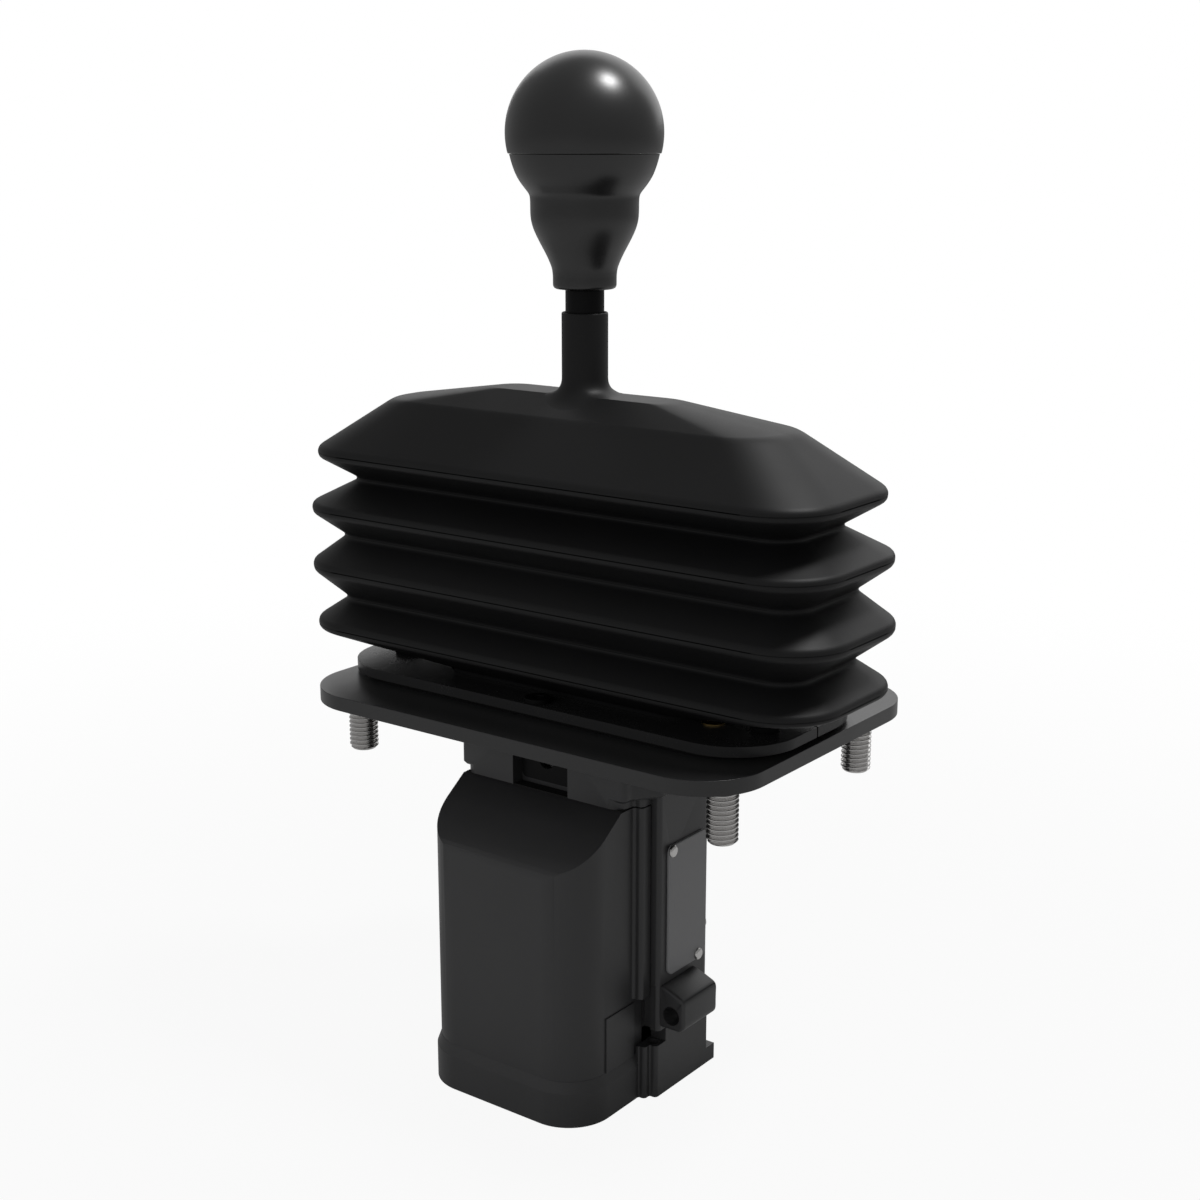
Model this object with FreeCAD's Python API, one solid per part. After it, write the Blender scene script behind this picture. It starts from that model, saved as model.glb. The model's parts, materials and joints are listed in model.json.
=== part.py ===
import FreeCAD, Part
import math
import os
from FreeCAD import Vector

# Panel-mounted industrial lever: a single-axis, spring-return joystick in millimetres.
# X is the way the lever swings, Y runs along its pivot shaft, Z is up.
# The pieces are drawn about the lever's own axis, at the flange plate's underside, and then
# moved so that the origin is the middle of the stud pattern, where the panel lies.

# Flange plate and its studs
plate_length = 141.0
plate_width = 99.0
plate_thick = 4.0
plate_corner = 18.0
plate_offset = 9.0
stud_dia = 8.0
stud_reach = 16.0
stud_pitch_x = 120.0
stud_pitch_y = 66.0
slot_half_length = 18.0
slot_half_width = 9.5

# Clamp frame that holds the bellows' foot
frame_length = 136.1
frame_width = 57.8
frame_thick = 2.7
frame_corner = 19.0
frame_small_corner = 9.0
frame_offset = 4.5
frame_split = 0.6
foot_thick = 1.0
foot_inset = 1.0
foot_half_length = 40.0
foot_half_width = 13.0
foot_corner = 8.0

# Bellows: crests and valleys as half length, half width and height
crests = ((81.3, 25.9, 66.1), (83.5, 26.6, 50.3), (84.9, 25.6, 33.5), (83.2, 26.0, 17.1))
valleys = ((72.6, 16.7, 58.3), (76.0, 18.7, 42.1), (75.9, 18.7, 24.3))
crest_corner = 16.5
valley_corner = 8.5
crest_land = 1.0
bellows_wall = 1.6
cap_ridge = (28.7, 5.5, 86.1)
cap_ridge_corner = 4.5
cap_knee = (62.0, 13.5, 81.0)
cap_knee_corner = 12.0
sleeve_radius = 6.0
sleeve_top = 107.0
sleeve_flare = 4.0

# Lever, knob and hub
pivot_z = -9.5
rod_dia = 10.0
rod_thread_dia = 8.0
rod_bottom = -2.2
ball_z = 151.5
ball_radius = 20.0
knob_parting = -5.0
knob_step = 0.4
knob_wall = 2.4
collar_bottom = -38.6
insert_radius = 6.0
insert_length = 19.0
knob_floor = 6.0
knob_waist = ((17.3, -10.4), (14.6, -14.9), (13.95, -16.3), (13.75, -18.0), (13.75, -20.4), (13.2, -22.9),
              (11.8, -26.7), (9.9, -29.8), (8.7, -32.2))
collar_top = -34.8
knob_bowl_step = 4.0
knob_bowl_edge = 2.5
collar_radius = 8.15
collar_round = 1.5
hub_radius = 8.5
hub_front = -6.0
hub_rear = 4.2
boss_radius = 8.0
boss_half_depth = 6.0
boss_low = -2.4
boss_top = 6.0
tail_reach = 19.0
tail_rear = 2.0
tail_half_width = 4.9
pin_radius = 1.5
set_screw_radius = 2.0
shaft_dia = 8.0
shaft_front = -15.4
shaft_rear = 13.8

# Gears to the angle sensor
gear_module = 1.0
sector_teeth = 48
pinion_teeth = 16
gear_thick = 2.5
gear_backlash = 0.16
sector_half_angle = 40.0
sector_hub_radius = 10.0
sector_screw_radius = 1.5
sector_screw_circle = 6.5
spindle_dia = 4.0

# Casting that carries the pivot
neck_half_width = 26.0
neck_front = -20.0
neck_depth = 17.2
rim_half_width = 27.6
rim_depth = 15.3
rim_slope = 0.8
rim_corner = 2.0
swell_front = -17.0
swell_back = -9.8
swell_round = 2.0
rim_proud = 0.8
step_front = -14.3
step_round = 1.3
step_hollow = 0.9
body_half_width = 31.8
body_front = -10.0
body_corner = 2.6
body_back = 14.0
body_wall = 6.0
back_wall = 3.5
cavity_half_width = 20.0
neck_wall = 8.0
pocket_half_width = 9.2
pocket_depth = 4.0
pocket_top = -3.0
neck_corner = 4.0
bearing_boss_radius = 8.8
bearing_boss = 2.0
lug_reach = 7.5
lug_height = 12.5
lug_gap = 1.0
lug_root = 2.5
lug_front = -9.0
lug_back = 7.0
lug_chamfer = 4.0
lug_round = 1.2
lug_crown = 0.45
lug_hole_radius = 2.5
lug_hole_height = 4.25
scoop_height = 10.1

# Front cover
cover_half_width = 26.6
cover_front = -38.7
cover_corner = 12.0
cover_wall = 3.0
cover_crest = -31.0
crest_round = 1.8
cover_rib_half_width = 29.2
pad_proud = 0.4
pad_height = 15.5

# Base cap with its cable inlet
base_half_width = 27.7
base_front = -39.8
base_corner = 12.9
base_bottom = -100.6
base_floor = 4.5
base_wall = 3.0
base_step_x = 29.7
base_step_front = -13.2
base_round = 1.1
base_hollow = 0.5
base_band = 3.0
base_back = 13.4
base_height = 12.6
base_side_height = 19.1
base_lip_back = 17.4
base_lip_height = 4.6
corner_boss_height = 15.1
corner_boss_front = -10.9
corner_boss_back = -6.5
corner_boss_screw = 2.2
rear_screw_inset = 3.6
base_screw_radius = 1.5
base_screw_head = 2.2
base_screw_inset = 2.4
inlet_radius = 8.25
inlet_y = -24.0

# Bearings, spring, keeper and stops
bush_radius = 6.0
bush_flange_radius = 7.5
bush_flange = 0.8
running_gap = 0.03
spring_wire = 1.4
spring_turns = 2.5
spring_gap = 0.1
anchor_top = -19.5
anchor_bottom = -23.5
anchor_front = 4.6
finger_thick = 3.0
finger_rear = 9.4
keeper_half_width = 8.2
keeper_thick = 1.2
keeper_bottom = -15.5
keeper_hole_radius = 2.4
keeper_screw_radius = 1.0
keeper_screw_inset = 2.2
keeper_screw_drop = 2.0
keeper_screw_depth = 3.0
keeper_head_radius = 1.7
keeper_head = 0.8
stop_radius = 3.0
stop_length = 6.7
stop_tail = 3.5
stop_rise = 5.7

# Sensor side
bracket_front = -4.5
bracket_thick = 2.0
bracket_half_width = 18.0
bracket_top = -30.0
bracket_bottom = -58.0
bracket_foot = 6.0
spindle_bush_radius = 3.5
holder_radius = 4.0
holder_back = 2.0
magnet_radius = 3.0
magnet_thick = 1.5
sensor_gap = 0.8
sensor_half = 3.0
sensor_thick = 1.2
board_half_width = 15.0
board_top = -32.0
board_bottom = -56.0
board_thick = 1.6

# Terminals in the front chamber
carrier_half_width = 20.0
carrier_top = -42.0
carrier_bottom = -74.0
carrier_thick = 1.5
carrier_y = -13.0
carrier_leg_back = 4.0
block_half_width = 17.5
block_depth = 10.0
block_height = 16.0
block_z = -58.0
terminal_count = 6
terminal_rise = 3.5
terminal_well_radius = 2.0
terminal_well_depth = 5.0
terminal_screw_depth = 2.5
wire_mouth_depth = 3.0
wire_mouth_low = 6.0
wire_mouth_high = 1.0
wire_mouth_gap = 0.8

# Fasteners and trim
screw_radius = 1.5
head_radius = 2.8
head_height = 1.6
cover_screw_radius = 1.25
cover_screw_inset = 1.6
cover_screw_tip = 1.2
cover_head_radius = 2.2
cover_screw_top = 8.0
cover_screw_low = 12.0
housing_screw_depth = 9.0
clamp_screw_radius = 2.0
clamp_head_radius = 3.6
clamp_head_height = 1.3
clamp_end_inset = 8.1
clamp_end_reach = 9.5
clamp_side_inset = 3.9
insert_gap = 6.5
insert_y = -8.0
insert_pad_radius = 3.0
insert_bore_radius = 1.6
insert_proud = 0.3
nameplate_width = 18.6
nameplate_top = -30.15
nameplate_gap = 2.35
nameplate_thick = 0.8
nameplate_corner = 2.0
nameplate_y = 2.6
rivet_radius = 1.1
rivet_inset = 2.4
seal_thick = 0.4
seal_inset = 0.15
slip = 0.05
seat = 0.3

# Heights that stand on the base's bottom
cover_bottom = base_bottom + base_height
body_bottom = base_bottom + base_side_height
corner_boss_top = base_bottom + corner_boss_height
base_lip_top = base_bottom + base_lip_height
lug_bottom = body_bottom + lug_gap
lug_top = lug_bottom + lug_height
scoop_top = body_bottom + scoop_height
pad_top = cover_bottom + pad_height
nameplate_bottom = lug_top + nameplate_gap


def box(x0, x1, y0, y1, z0, z1):
    return Part.makeBox(x1 - x0, y1 - y0, z1 - z0, Vector(x0, y0, z0))


def post(radius, z0, z1, x=0.0, y=0.0):
    return Part.makeCylinder(radius, z1 - z0, Vector(x, y, z0), Vector(0, 0, 1))


def along_y(radius, y0, y1, x=0.0, z=0.0):
    return Part.makeCylinder(radius, y1 - y0, Vector(x, y0, z), Vector(0, 1, 0))


def along_x(radius, x0, x1, y=0.0, z=0.0):
    return Part.makeCylinder(radius, x1 - x0, Vector(x0, y, z), Vector(1, 0, 0))


def both_sides(shape):
    """The shape and its mirror image across the lever's centre plane."""
    return [shape, shape.mirror(Vector(0, 0, 0), Vector(1, 0, 0))]


def cut_all(shape, tools):
    for tool in tools:
        shape = shape.cut(tool)
    return shape


def fuse_all(shapes):
    whole = shapes[0]
    for shape in shapes[1:]:
        whole = whole.fuse(shape)
    return whole.removeSplitter()


def rounded_outline(half_x, half_y, corner, z, cy=0.0):
    """A rounded rectangle as a wire of four lines and four arcs at height z."""
    k = corner * (1 - math.sqrt(0.5))
    x1, y1 = half_x, half_y
    x0, y0 = half_x - corner, half_y - corner
    edges = []
    for turn in range(4):
        flip = turn % 2
        a, b = (x1, y1) if not flip else (y1, x1)
        c, d = (x0, y0) if not flip else (y0, x0)
        spots = [(a, -d), (a, d), (a - k, b - k), (c, b)]
        angle = math.radians(90 * turn)
        cs, sn = round(math.cos(angle)), round(math.sin(angle))
        v = [Vector(px * cs - py * sn, cy + px * sn + py * cs, z) for px, py in spots]
        edges.append(Part.makeLine(v[0], v[1]))
        edges.append(Part.Arc(v[1], v[2], v[3]).toShape())
    return Part.Wire(edges)


def slab(half_x, half_y, corner, z0, z1, cy=0.0):
    face = Part.Face(rounded_outline(half_x, half_y, corner, z0, cy))
    return face.extrude(Vector(0, 0, z1 - z0))


def rounded_wire(corners, place):
    """A closed outline of corners (u, v, radius), rounded by arcs; place puts a flat point in space."""
    spots = []
    for index, (u, v, radius) in enumerate(corners):
        corner = Vector(u, v, 0)
        before = Vector(*corners[index - 1][:2], 0)
        after = Vector(*corners[(index + 1) % len(corners)][:2], 0)
        back = (before - corner).normalize()
        onward = (after - corner).normalize()
        if not radius:
            spots.append((corner, None, corner))
            continue
        half = back.getAngle(onward) / 2
        reach = radius / math.tan(half)
        inward = (back + onward).normalize()
        spots.append((corner + back * reach, corner + inward * (radius / math.sin(half) - radius),
                      corner + onward * reach))
    edges = []
    for index, (start, through, end) in enumerate(spots):
        last = spots[index - 1][2]
        if last.distanceToPoint(start) > 1e-6:
            edges.append(Part.makeLine(place(last), place(start)))
        if through:
            edges.append(Part.Arc(place(start), place(through), place(end)).toShape())
    return Part.Wire(edges)


def upright(corners, z0, z1):
    """A plan view given as (x, y, radius) corners, carried up from z0 to z1."""
    face = Part.Face(rounded_wire(corners, lambda p: Vector(p.x, p.y, z0)))
    return face.extrude(Vector(0, 0, z1 - z0))


def front_view(corners, y0, y1):
    """A front view given as (x, z, radius) corners, carried back from y0 to y1."""
    face = Part.Face(rounded_wire(corners, lambda p: Vector(p.x, y0, p.y)))
    return face.extrude(Vector(0, y1 - y0, 0))


def mirrored(right):
    """Closes an outline from the corners of its right half, listed from front to back."""
    return right + [(-x, y, radius) for x, y, radius in reversed(right)]


def turned(edges, z=0.0):
    """A closed profile in the XZ plane turned about the lever's axis."""
    solid = Part.Face(Part.Wire(edges)).revolve(Vector(0, 0, 0), Vector(0, 0, 1), 360)
    solid.translate(Vector(0, 0, z))
    return solid


def line(a, b):
    return Part.makeLine(Vector(a[0], 0, a[1]), Vector(b[0], 0, b[1]))


def arc(a, m, b):
    return Part.Arc(Vector(a[0], 0, a[1]), Vector(m[0], 0, m[1]), Vector(b[0], 0, b[1])).toShape()


def stud_spots():
    return [(sx * stud_pitch_x / 2, plate_offset + sy * stud_pitch_y / 2)
            for sx in (-1, 1) for sy in (-1, 1)]


def clamp_spots():
    """The clamp frame's screws: one in the middle of each long side, two near each end."""
    end_x = frame_length / 2 - clamp_end_inset
    end_y = clamp_end_reach
    middle_y = frame_width / 2 - clamp_side_inset
    ends = [(sx * end_x, frame_offset + sy * end_y) for sx in (-1, 1) for sy in (-1, 1)]
    return ends + [(0.0, frame_offset - middle_y), (0.0, frame_offset + middle_y)]


def gate_spots():
    """Two bushes, each the other turned half a turn about the frame's middle."""
    x = foot_half_length + insert_gap
    return [(x, insert_y), (-x, 2 * frame_offset - insert_y)]


def housing_screw_spots():
    """Countersunk screws that hold the casting under the plate."""
    return [(sx * (body_half_width - 5.5), y) for sx in (-1, 1) for y in (body_front + 6, body_back - 6)]


def flange_plate():
    plate = slab(plate_length / 2, plate_width / 2, plate_corner, 0, plate_thick, plate_offset)
    holes = [slab(slot_half_length, slot_half_width, slot_half_width - 1, -1, plate_thick + 1)]
    holes += [post(clamp_screw_radius, -1, plate_thick + 1, x, y) for x, y in clamp_spots()]
    for x, y in housing_screw_spots():
        holes.append(post(screw_radius + slip, -1, plate_thick + 1, x, y))
        holes.append(Part.makeCone(screw_radius + slip, head_radius + slip, head_height,
                                   Vector(x, y, plate_thick - head_height)))
    return cut_all(plate, holes)


def mounting_studs():
    studs = []
    for x, y in stud_spots():
        stud = post(stud_dia / 2, -stud_reach, 0, x, y)
        studs.append(stud.makeChamfer(0.8, [e for e in stud.Edges if e.BoundBox.ZMax < -stud_reach + 0.1]))
    return Part.makeCompound(studs)


def housing_screws():
    screws = []
    for x, y in housing_screw_spots():
        shank = post(screw_radius, -housing_screw_depth, plate_thick - head_height, x, y)
        head = Part.makeCone(screw_radius, head_radius, head_height, Vector(x, y, plate_thick - head_height))
        screws.append(shank.fuse(head))
    return Part.makeCompound(screws)


def frame_half(side):
    """Half of the clamp frame: side -1 is the front half, side 1 the same moulding turned half a turn."""
    z0 = plate_thick + foot_thick
    z1 = z0 + frame_thick
    x = frame_length / 2
    y = frame_width / 2
    ring = upright([(x, frame_offset - y, frame_corner), (x, frame_offset + y, frame_small_corner),
                    (-x, frame_offset + y, frame_corner), (-x, frame_offset - y, frame_small_corner)], z0, z1)
    opening = slab(foot_half_length + seat, foot_half_width + seat, foot_corner, z0 - 1, z1 + 1)
    far = side * frame_width
    near = side * frame_split / 2
    keep = box(-frame_length, frame_length, frame_offset + min(near, far),
               frame_offset + max(near, far), z0 - 1, z1 + 1)
    tools = [opening]
    tools += [post(clamp_screw_radius + slip, z0 - 1, z1 + 1, x, y) for x, y in clamp_spots()]
    tools += [post(insert_pad_radius + slip, z0 - 1, z1 + 1, x, y) for x, y in gate_spots()]
    return cut_all(ring.common(keep), tools)


def clamp_screws():
    top = plate_thick + foot_thick + frame_thick
    screws = []
    for x, y in clamp_spots():
        shank = post(clamp_screw_radius - slip, 0.2, top, x, y)
        head = post(clamp_head_radius, top, top + clamp_head_height, x, y)
        socket = post(clamp_head_radius * 0.4, top + 0.4, top + clamp_head_height + 1, x, y)
        screws.append(shank.fuse(head).cut(socket))
    return Part.makeCompound(screws)


def gate_inserts():
    """Brass threaded bushes in the clamp frame."""
    z0 = plate_thick + foot_thick
    z1 = z0 + frame_thick
    return Part.makeCompound([
        post(insert_pad_radius, z0, z1 + insert_proud, x, y).cut(
            post(insert_bore_radius, z0 - 1, z1 + 1, x, y))
        for x, y in gate_spots()])


def loft(wires):
    return Part.makeLoft(wires, True, True)


def folded_block(inset):
    """The gaiter's form as straight lofts: ridge, knee, crests and valleys, down to the foot."""
    ridge_x, ridge_y, ridge_z = cap_ridge
    knee_x, knee_y, knee_z = cap_knee
    wires = [rounded_outline(ridge_x, ridge_y, cap_ridge_corner, ridge_z - inset),
             rounded_outline(knee_x - inset * 0.5, knee_y - inset * 0.5, cap_knee_corner - inset * 0.5,
                             knee_z - inset)]
    for index, (half_x, half_y, z) in enumerate(crests):
        for land in (crest_land, -crest_land):
            wires.append(rounded_outline(half_x - inset, half_y - inset, crest_corner - inset, z + land))
        if index < len(valleys):
            vx, vy, vz = valleys[index]
            wires.append(rounded_outline(vx - inset, vy - inset, valley_corner - inset, vz))
    wires.append(rounded_outline(foot_half_length - inset, foot_half_width - inset,
                                 foot_corner - inset, stem_top()))
    return loft(wires)


def stem_top():
    return plate_thick + foot_thick + frame_thick + 1.5


def bellows():
    """A rubber gaiter: folded wall, cap with a neck sleeve and a foot trapped under the clamp frame."""
    z0 = plate_thick
    top = stem_top()
    cap_top = cap_ridge[2]
    foot = slab(frame_length / 2 - foot_inset, frame_width / 2 - foot_inset,
                frame_corner - foot_inset, z0, z0 + foot_thick, frame_offset)
    stem = slab(foot_half_length, foot_half_width, foot_corner, z0, top)
    sleeve = post(sleeve_radius, cap_top - 3, sleeve_top)
    skirt = sleeve_radius + sleeve_flare
    low = -sleeve_flare * 0.85
    flare = turned([line((0, low), (skirt, low)),
                    arc((skirt, low), (sleeve_radius + sleeve_flare * 0.3, 0), (sleeve_radius, sleeve_flare)),
                    line((sleeve_radius, sleeve_flare), (0, sleeve_flare)),
                    line((0, sleeve_flare), (0, low))], cap_top)
    outer = fuse_all([folded_block(0), stem, foot, sleeve, flare])
    inner = folded_block(bellows_wall)
    throat = slab(foot_half_length - bellows_wall, foot_half_width - bellows_wall,
                  foot_corner - bellows_wall, z0 - 1, top + 0.5)
    bore = post(rod_dia / 2 + seat, cap_top - sleeve_flare * 2, sleeve_top + 1)
    holes = [post(clamp_screw_radius, z0 - 1, z0 + foot_thick + 1, x, y) for x, y in clamp_spots()]
    return cut_all(outer, [inner, throat, bore] + holes)


def knob_cap():
    """Upper half of the ball, hollow, with a spigot that drops into the lower shell."""
    edge = math.sqrt(ball_radius ** 2 - knob_parting ** 2)
    inner = ball_radius - knob_wall
    inner_edge = math.sqrt(inner ** 2 - knob_parting ** 2)
    half = math.sqrt(0.5)
    dome = turned([arc((edge, knob_parting), (ball_radius * half, ball_radius * half), (0, ball_radius)),
                   line((0, ball_radius), (0, inner)),
                   arc((0, inner), (inner * half, inner * half), (inner_edge, knob_parting)),
                   line((inner_edge, knob_parting), (edge, knob_parting))], ball_z)
    rim = post(inner_edge + 0.5, ball_z + knob_parting - 2, ball_z + knob_parting + 0.5)
    rim = rim.cut(post(inner_edge - 0.7, ball_z + knob_parting - 3, ball_z + knob_parting + 1))
    return dome.fuse(rim)


def knob_base():
    """Lower half of the knob: part of the ball, a waist, a swelling and the collar on the rod."""
    r = ball_radius - knob_step
    start = (math.sqrt(r ** 2 - knob_parting ** 2), knob_parting)
    inner = math.sqrt((ball_radius - knob_wall) ** 2 - knob_parting ** 2) + 0.5 + slip
    floor = knob_parting - knob_floor
    collar = collar_radius
    bottom = collar_bottom
    low = bottom + collar_round
    half = collar_round * (1 - math.sqrt(0.5))
    run = [start, *knob_waist, (collar, collar_top)]
    profile = [arc(*run[i:i + 3]) for i in range(0, len(run) - 2, 2)]
    profile += [line((collar, collar_top), (collar, low)),
                arc((collar, low), (collar - half, bottom + half), (collar - collar_round, bottom)),
                line((collar - collar_round, bottom), (insert_radius, bottom)),
                line((insert_radius, bottom), (insert_radius, floor)),
                line((insert_radius, floor), (inner - knob_bowl_step, floor)),
                line((inner - knob_bowl_step, floor), (inner, knob_parting - knob_bowl_edge)),
                line((inner, knob_parting - knob_bowl_edge), (inner, knob_parting)),
                line((inner, knob_parting), start)]
    return turned(profile, ball_z)


def knob_insert():
    z0 = ball_z + collar_bottom
    z1 = z0 + insert_length
    return post(insert_radius, z0, z1).cut(post(rod_thread_dia / 2, z0 - 1, z1 + 1))


def lever_rod():
    shoulder = ball_z + collar_bottom
    rod = post(rod_dia / 2, boss_top, shoulder)
    lower = post(rod_thread_dia / 2, rod_bottom, boss_top + 1)
    upper = post(rod_thread_dia / 2, shoulder - 1, shoulder + insert_length - 1)
    return fuse_all([rod, lower, upper])


def pivot_hub():
    """The rocking hub: barrel on the shaft, boss for the rod, tail and finger that push the spring."""
    barrel = along_y(hub_radius, hub_front, hub_rear, 0, pivot_z)
    boss = post(boss_radius, boss_low, boss_top)
    flats = box(-boss_radius, boss_radius, -boss_half_depth, boss_half_depth, boss_low, boss_top)
    cheek = box(-boss_radius, boss_radius, hub_front, hub_rear, pivot_z, boss_low + 1)
    tail = box(-tail_half_width, tail_half_width, hub_front + 3, tail_rear, pivot_z - tail_reach, pivot_z)
    finger = box(-tail_half_width, tail_half_width, hub_front + 3, finger_rear,
                 pivot_z - tail_reach, pivot_z - tail_reach + finger_thick)
    hub = fuse_all([barrel, cheek, boss.common(flats), tail, finger])
    tools = [along_y(shaft_dia / 2, hub_front - 1, hub_rear + 1, 0, pivot_z),
             post(rod_thread_dia / 2, rod_bottom, boss_top + 1),
             along_x(pin_radius, -hub_radius - 1, hub_radius + 1, 0, pivot_z),
             along_y(set_screw_radius, -boss_half_depth - 1, -rod_thread_dia / 2 + 0.5, 0, boss_top - 4)]
    tools += [along_y(sector_screw_radius, hub_front - 1, hub_front + 4, x, z)
              for x, z in sector_screw_spots()]
    return cut_all(hub, tools)


def sector_screw_spots():
    """Two screws either side of the shaft, on the hub's front face."""
    return [(sx * sector_screw_circle * math.sin(math.radians(70)),
             pivot_z - sector_screw_circle * math.cos(math.radians(70))) for sx in (-1, 1)]


def pivot_shaft():
    shaft = along_y(shaft_dia / 2, shaft_front, shaft_rear, 0, pivot_z)
    return shaft.cut(along_x(pin_radius, -hub_radius, hub_radius, 0, pivot_z))


def hub_pin():
    return along_x(pin_radius, -hub_radius + 0.4, hub_radius - 0.4, 0, pivot_z)


def rod_set_screw():
    screw = along_y(set_screw_radius, -boss_half_depth + 0.3, -rod_thread_dia / 2 + 1, 0, boss_top - 4)
    return screw.cut(post(rod_thread_dia / 2, boss_top - 8, boss_top))


def tooth_flank(teeth, clearance):
    """Half-tooth points of an involute tooth as (radius, half angle), from root to tip."""
    pitch = gear_module * teeth / 2
    base = pitch * math.cos(math.radians(20))
    root = pitch - 1.25 * gear_module
    tip = pitch + gear_module - clearance
    inv20 = math.tan(math.radians(20)) - math.radians(20)
    half_pitch = math.pi / (2 * teeth) - gear_backlash / (4 * pitch)
    points = []
    for step in range(4):
        radius = max(root, base) + (tip - max(root, base)) * step / 3
        lean = math.acos(min(1.0, base / radius))
        points.append((radius, half_pitch + inv20 - (math.tan(lean) - lean)))
    if root < base:
        points.insert(0, (root, points[0][1]))
    return points


def gear_face(teeth, first, last, phase):
    """Outline of teeth first..last about the origin in the XZ plane, closed through the centre or round."""
    points = []
    flank = tooth_flank(teeth, 0.1)
    for index in range(first, last):
        middle = phase + 2 * math.pi * index / teeth
        for radius, half in flank:
            points.append((radius, middle - half))
        for radius, half in reversed(flank):
            points.append((radius, middle + half))
    return [(radius * math.cos(angle), radius * math.sin(angle)) for radius, angle in points]


def plate_from(points, y0, y1, cx, cz):
    vectors = [Vector(cx + x, y0, cz + z) for x, z in points]
    face = Part.Face(Part.makePolygon(vectors + vectors[:1]))
    return face.extrude(Vector(0, y1 - y0, 0))


def gear_plane():
    """Front and back of the gear pair: the sector lies on the hub's front face."""
    return hub_front - gear_thick, hub_front


def sector_gear():
    y0, y1 = gear_plane()
    count = int(sector_half_angle * sector_teeth / 360)
    down = -math.pi / 2
    points = gear_face(sector_teeth, -count, count + 1, down)
    wedge = plate_from([(0, 0)] + points, y0, y1, 0, pivot_z)
    hub = along_y(sector_hub_radius, y0, y1, 0, pivot_z)
    window_out = gear_module * sector_teeth / 2 - 5.0
    tools = [along_y(shaft_dia / 2 + slip, y0 - 1, y1 + 1, 0, pivot_z)]
    tools += [along_y(sector_screw_radius + slip, y0 - 1, y1 + 1, x, z) for x, z in sector_screw_spots()]
    for side in (-1, 1):
        angle = math.radians(20) * side
        reach = (window_out + sector_hub_radius) / 2
        tools.append(along_y((window_out - sector_hub_radius) / 2 - 0.8, y0 - 1, y1 + 1,
                             reach * math.sin(angle), pivot_z - reach * math.cos(angle)))
    return cut_all(hub.fuse(wedge).removeSplitter(), tools)


def sector_screws():
    y0 = gear_plane()[0]
    screws = []
    for x, z in sector_screw_spots():
        shank = along_y(sector_screw_radius, y0, y0 + gear_thick + 3.5, x, z)
        screws.append(shank.fuse(along_y(head_radius * 0.85, y0 - head_height, y0, x, z)))
    return Part.makeCompound(screws)


def pinion_z():
    return pivot_z - gear_module * (sector_teeth + pinion_teeth) / 2


def pinion_gear():
    """Pinion and its spindle in one piece; a gap between two teeth points up at rest."""
    y0, y1 = gear_plane()
    phase = math.pi / 2 + math.pi / pinion_teeth
    wheel = plate_from(gear_face(pinion_teeth, 0, pinion_teeth, phase), y0, y1, 0, pinion_z())
    spindle = along_y(spindle_dia / 2, y0 - 1.2, holder_back - 0.5, 0, pinion_z())
    return wheel.fuse(spindle).removeSplitter()


def holder_front():
    return bracket_front + bracket_thick + bush_flange + 0.3


def magnet_holder():
    """Plastic cup on the spindle's end that carries the magnet."""
    back = holder_back + magnet_thick
    cup = along_y(holder_radius, holder_front(), back, 0, pinion_z())
    cup = cup.cut(along_y(spindle_dia / 2, holder_front() - 1, holder_back - 0.5, 0, pinion_z()))
    return cup.cut(along_y(magnet_radius, holder_back, back + 1, 0, pinion_z()))


def sensor_magnet():
    return along_y(magnet_radius, holder_back, holder_back + magnet_thick, 0, pinion_z())


def spindle_bush():
    y0 = bracket_front
    y1 = y0 + bracket_thick
    bush = along_y(spindle_bush_radius, y0, y1, 0, pinion_z())
    bush = bush.fuse(along_y(spindle_bush_radius + 1.5, y1, y1 + bush_flange, 0, pinion_z()))
    return bush.cut(along_y(spindle_dia / 2 + running_gap, y0 - 1, y1 + 2, 0, pinion_z()))


def bracket_screw_spots():
    x = bracket_half_width + bracket_foot / 2
    return [(sx * x, z) for sx in (-1, 1) for z in (bracket_top - 5, bracket_bottom + 5)]


def gear_bracket():
    """Folded sheet bracket: a front web for the spindle, two sides and feet on the back wall."""
    y0 = bracket_front
    y1 = y0 + bracket_thick
    wall = body_back - back_wall
    web = box(-bracket_half_width, bracket_half_width, y0, y1, bracket_bottom, bracket_top)
    side = box(bracket_half_width - bracket_thick, bracket_half_width, y0, wall, bracket_bottom, bracket_top)
    foot = box(bracket_half_width - bracket_thick, bracket_half_width + bracket_foot,
               wall - bracket_thick, wall, bracket_bottom, bracket_top)
    bracket = fuse_all([web] + both_sides(side) + both_sides(foot))
    tools = [along_y(spindle_bush_radius, y0 - 1, y1 + 1, 0, pinion_z())]
    tools += [along_y(screw_radius + slip, wall - bracket_thick - 1, wall + 1, x, z)
              for x, z in bracket_screw_spots()]
    tools += both_sides(along_x(screw_radius, bracket_half_width - bracket_thick - 1, bracket_half_width + 1,
                                carrier_leg_back - 4, bracket_bottom + 5))
    return cut_all(bracket, tools)


def bracket_screws():
    wall = body_back - back_wall
    return Part.makeCompound([
        along_y(screw_radius, wall - bracket_thick, wall + 2.5, x, z).fuse(
            along_y(head_radius, wall - bracket_thick - head_height, wall - bracket_thick, x, z))
        for x, z in bracket_screw_spots()])


def board_front():
    return holder_back + magnet_thick + sensor_gap + sensor_thick


def board_spots():
    x = board_half_width - 3.0
    return [(sx * x, z) for sx in (-1, 1) for z in (board_top - 3, board_bottom + 3)]


def sensor_board():
    y0 = board_front()
    board = box(-board_half_width, board_half_width, y0, y0 + board_thick, board_bottom, board_top)
    return cut_all(board, [along_y(screw_radius * 0.7, y0 - 1, y0 + board_thick + 1, x, z)
                           for x, z in board_spots()])


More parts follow.
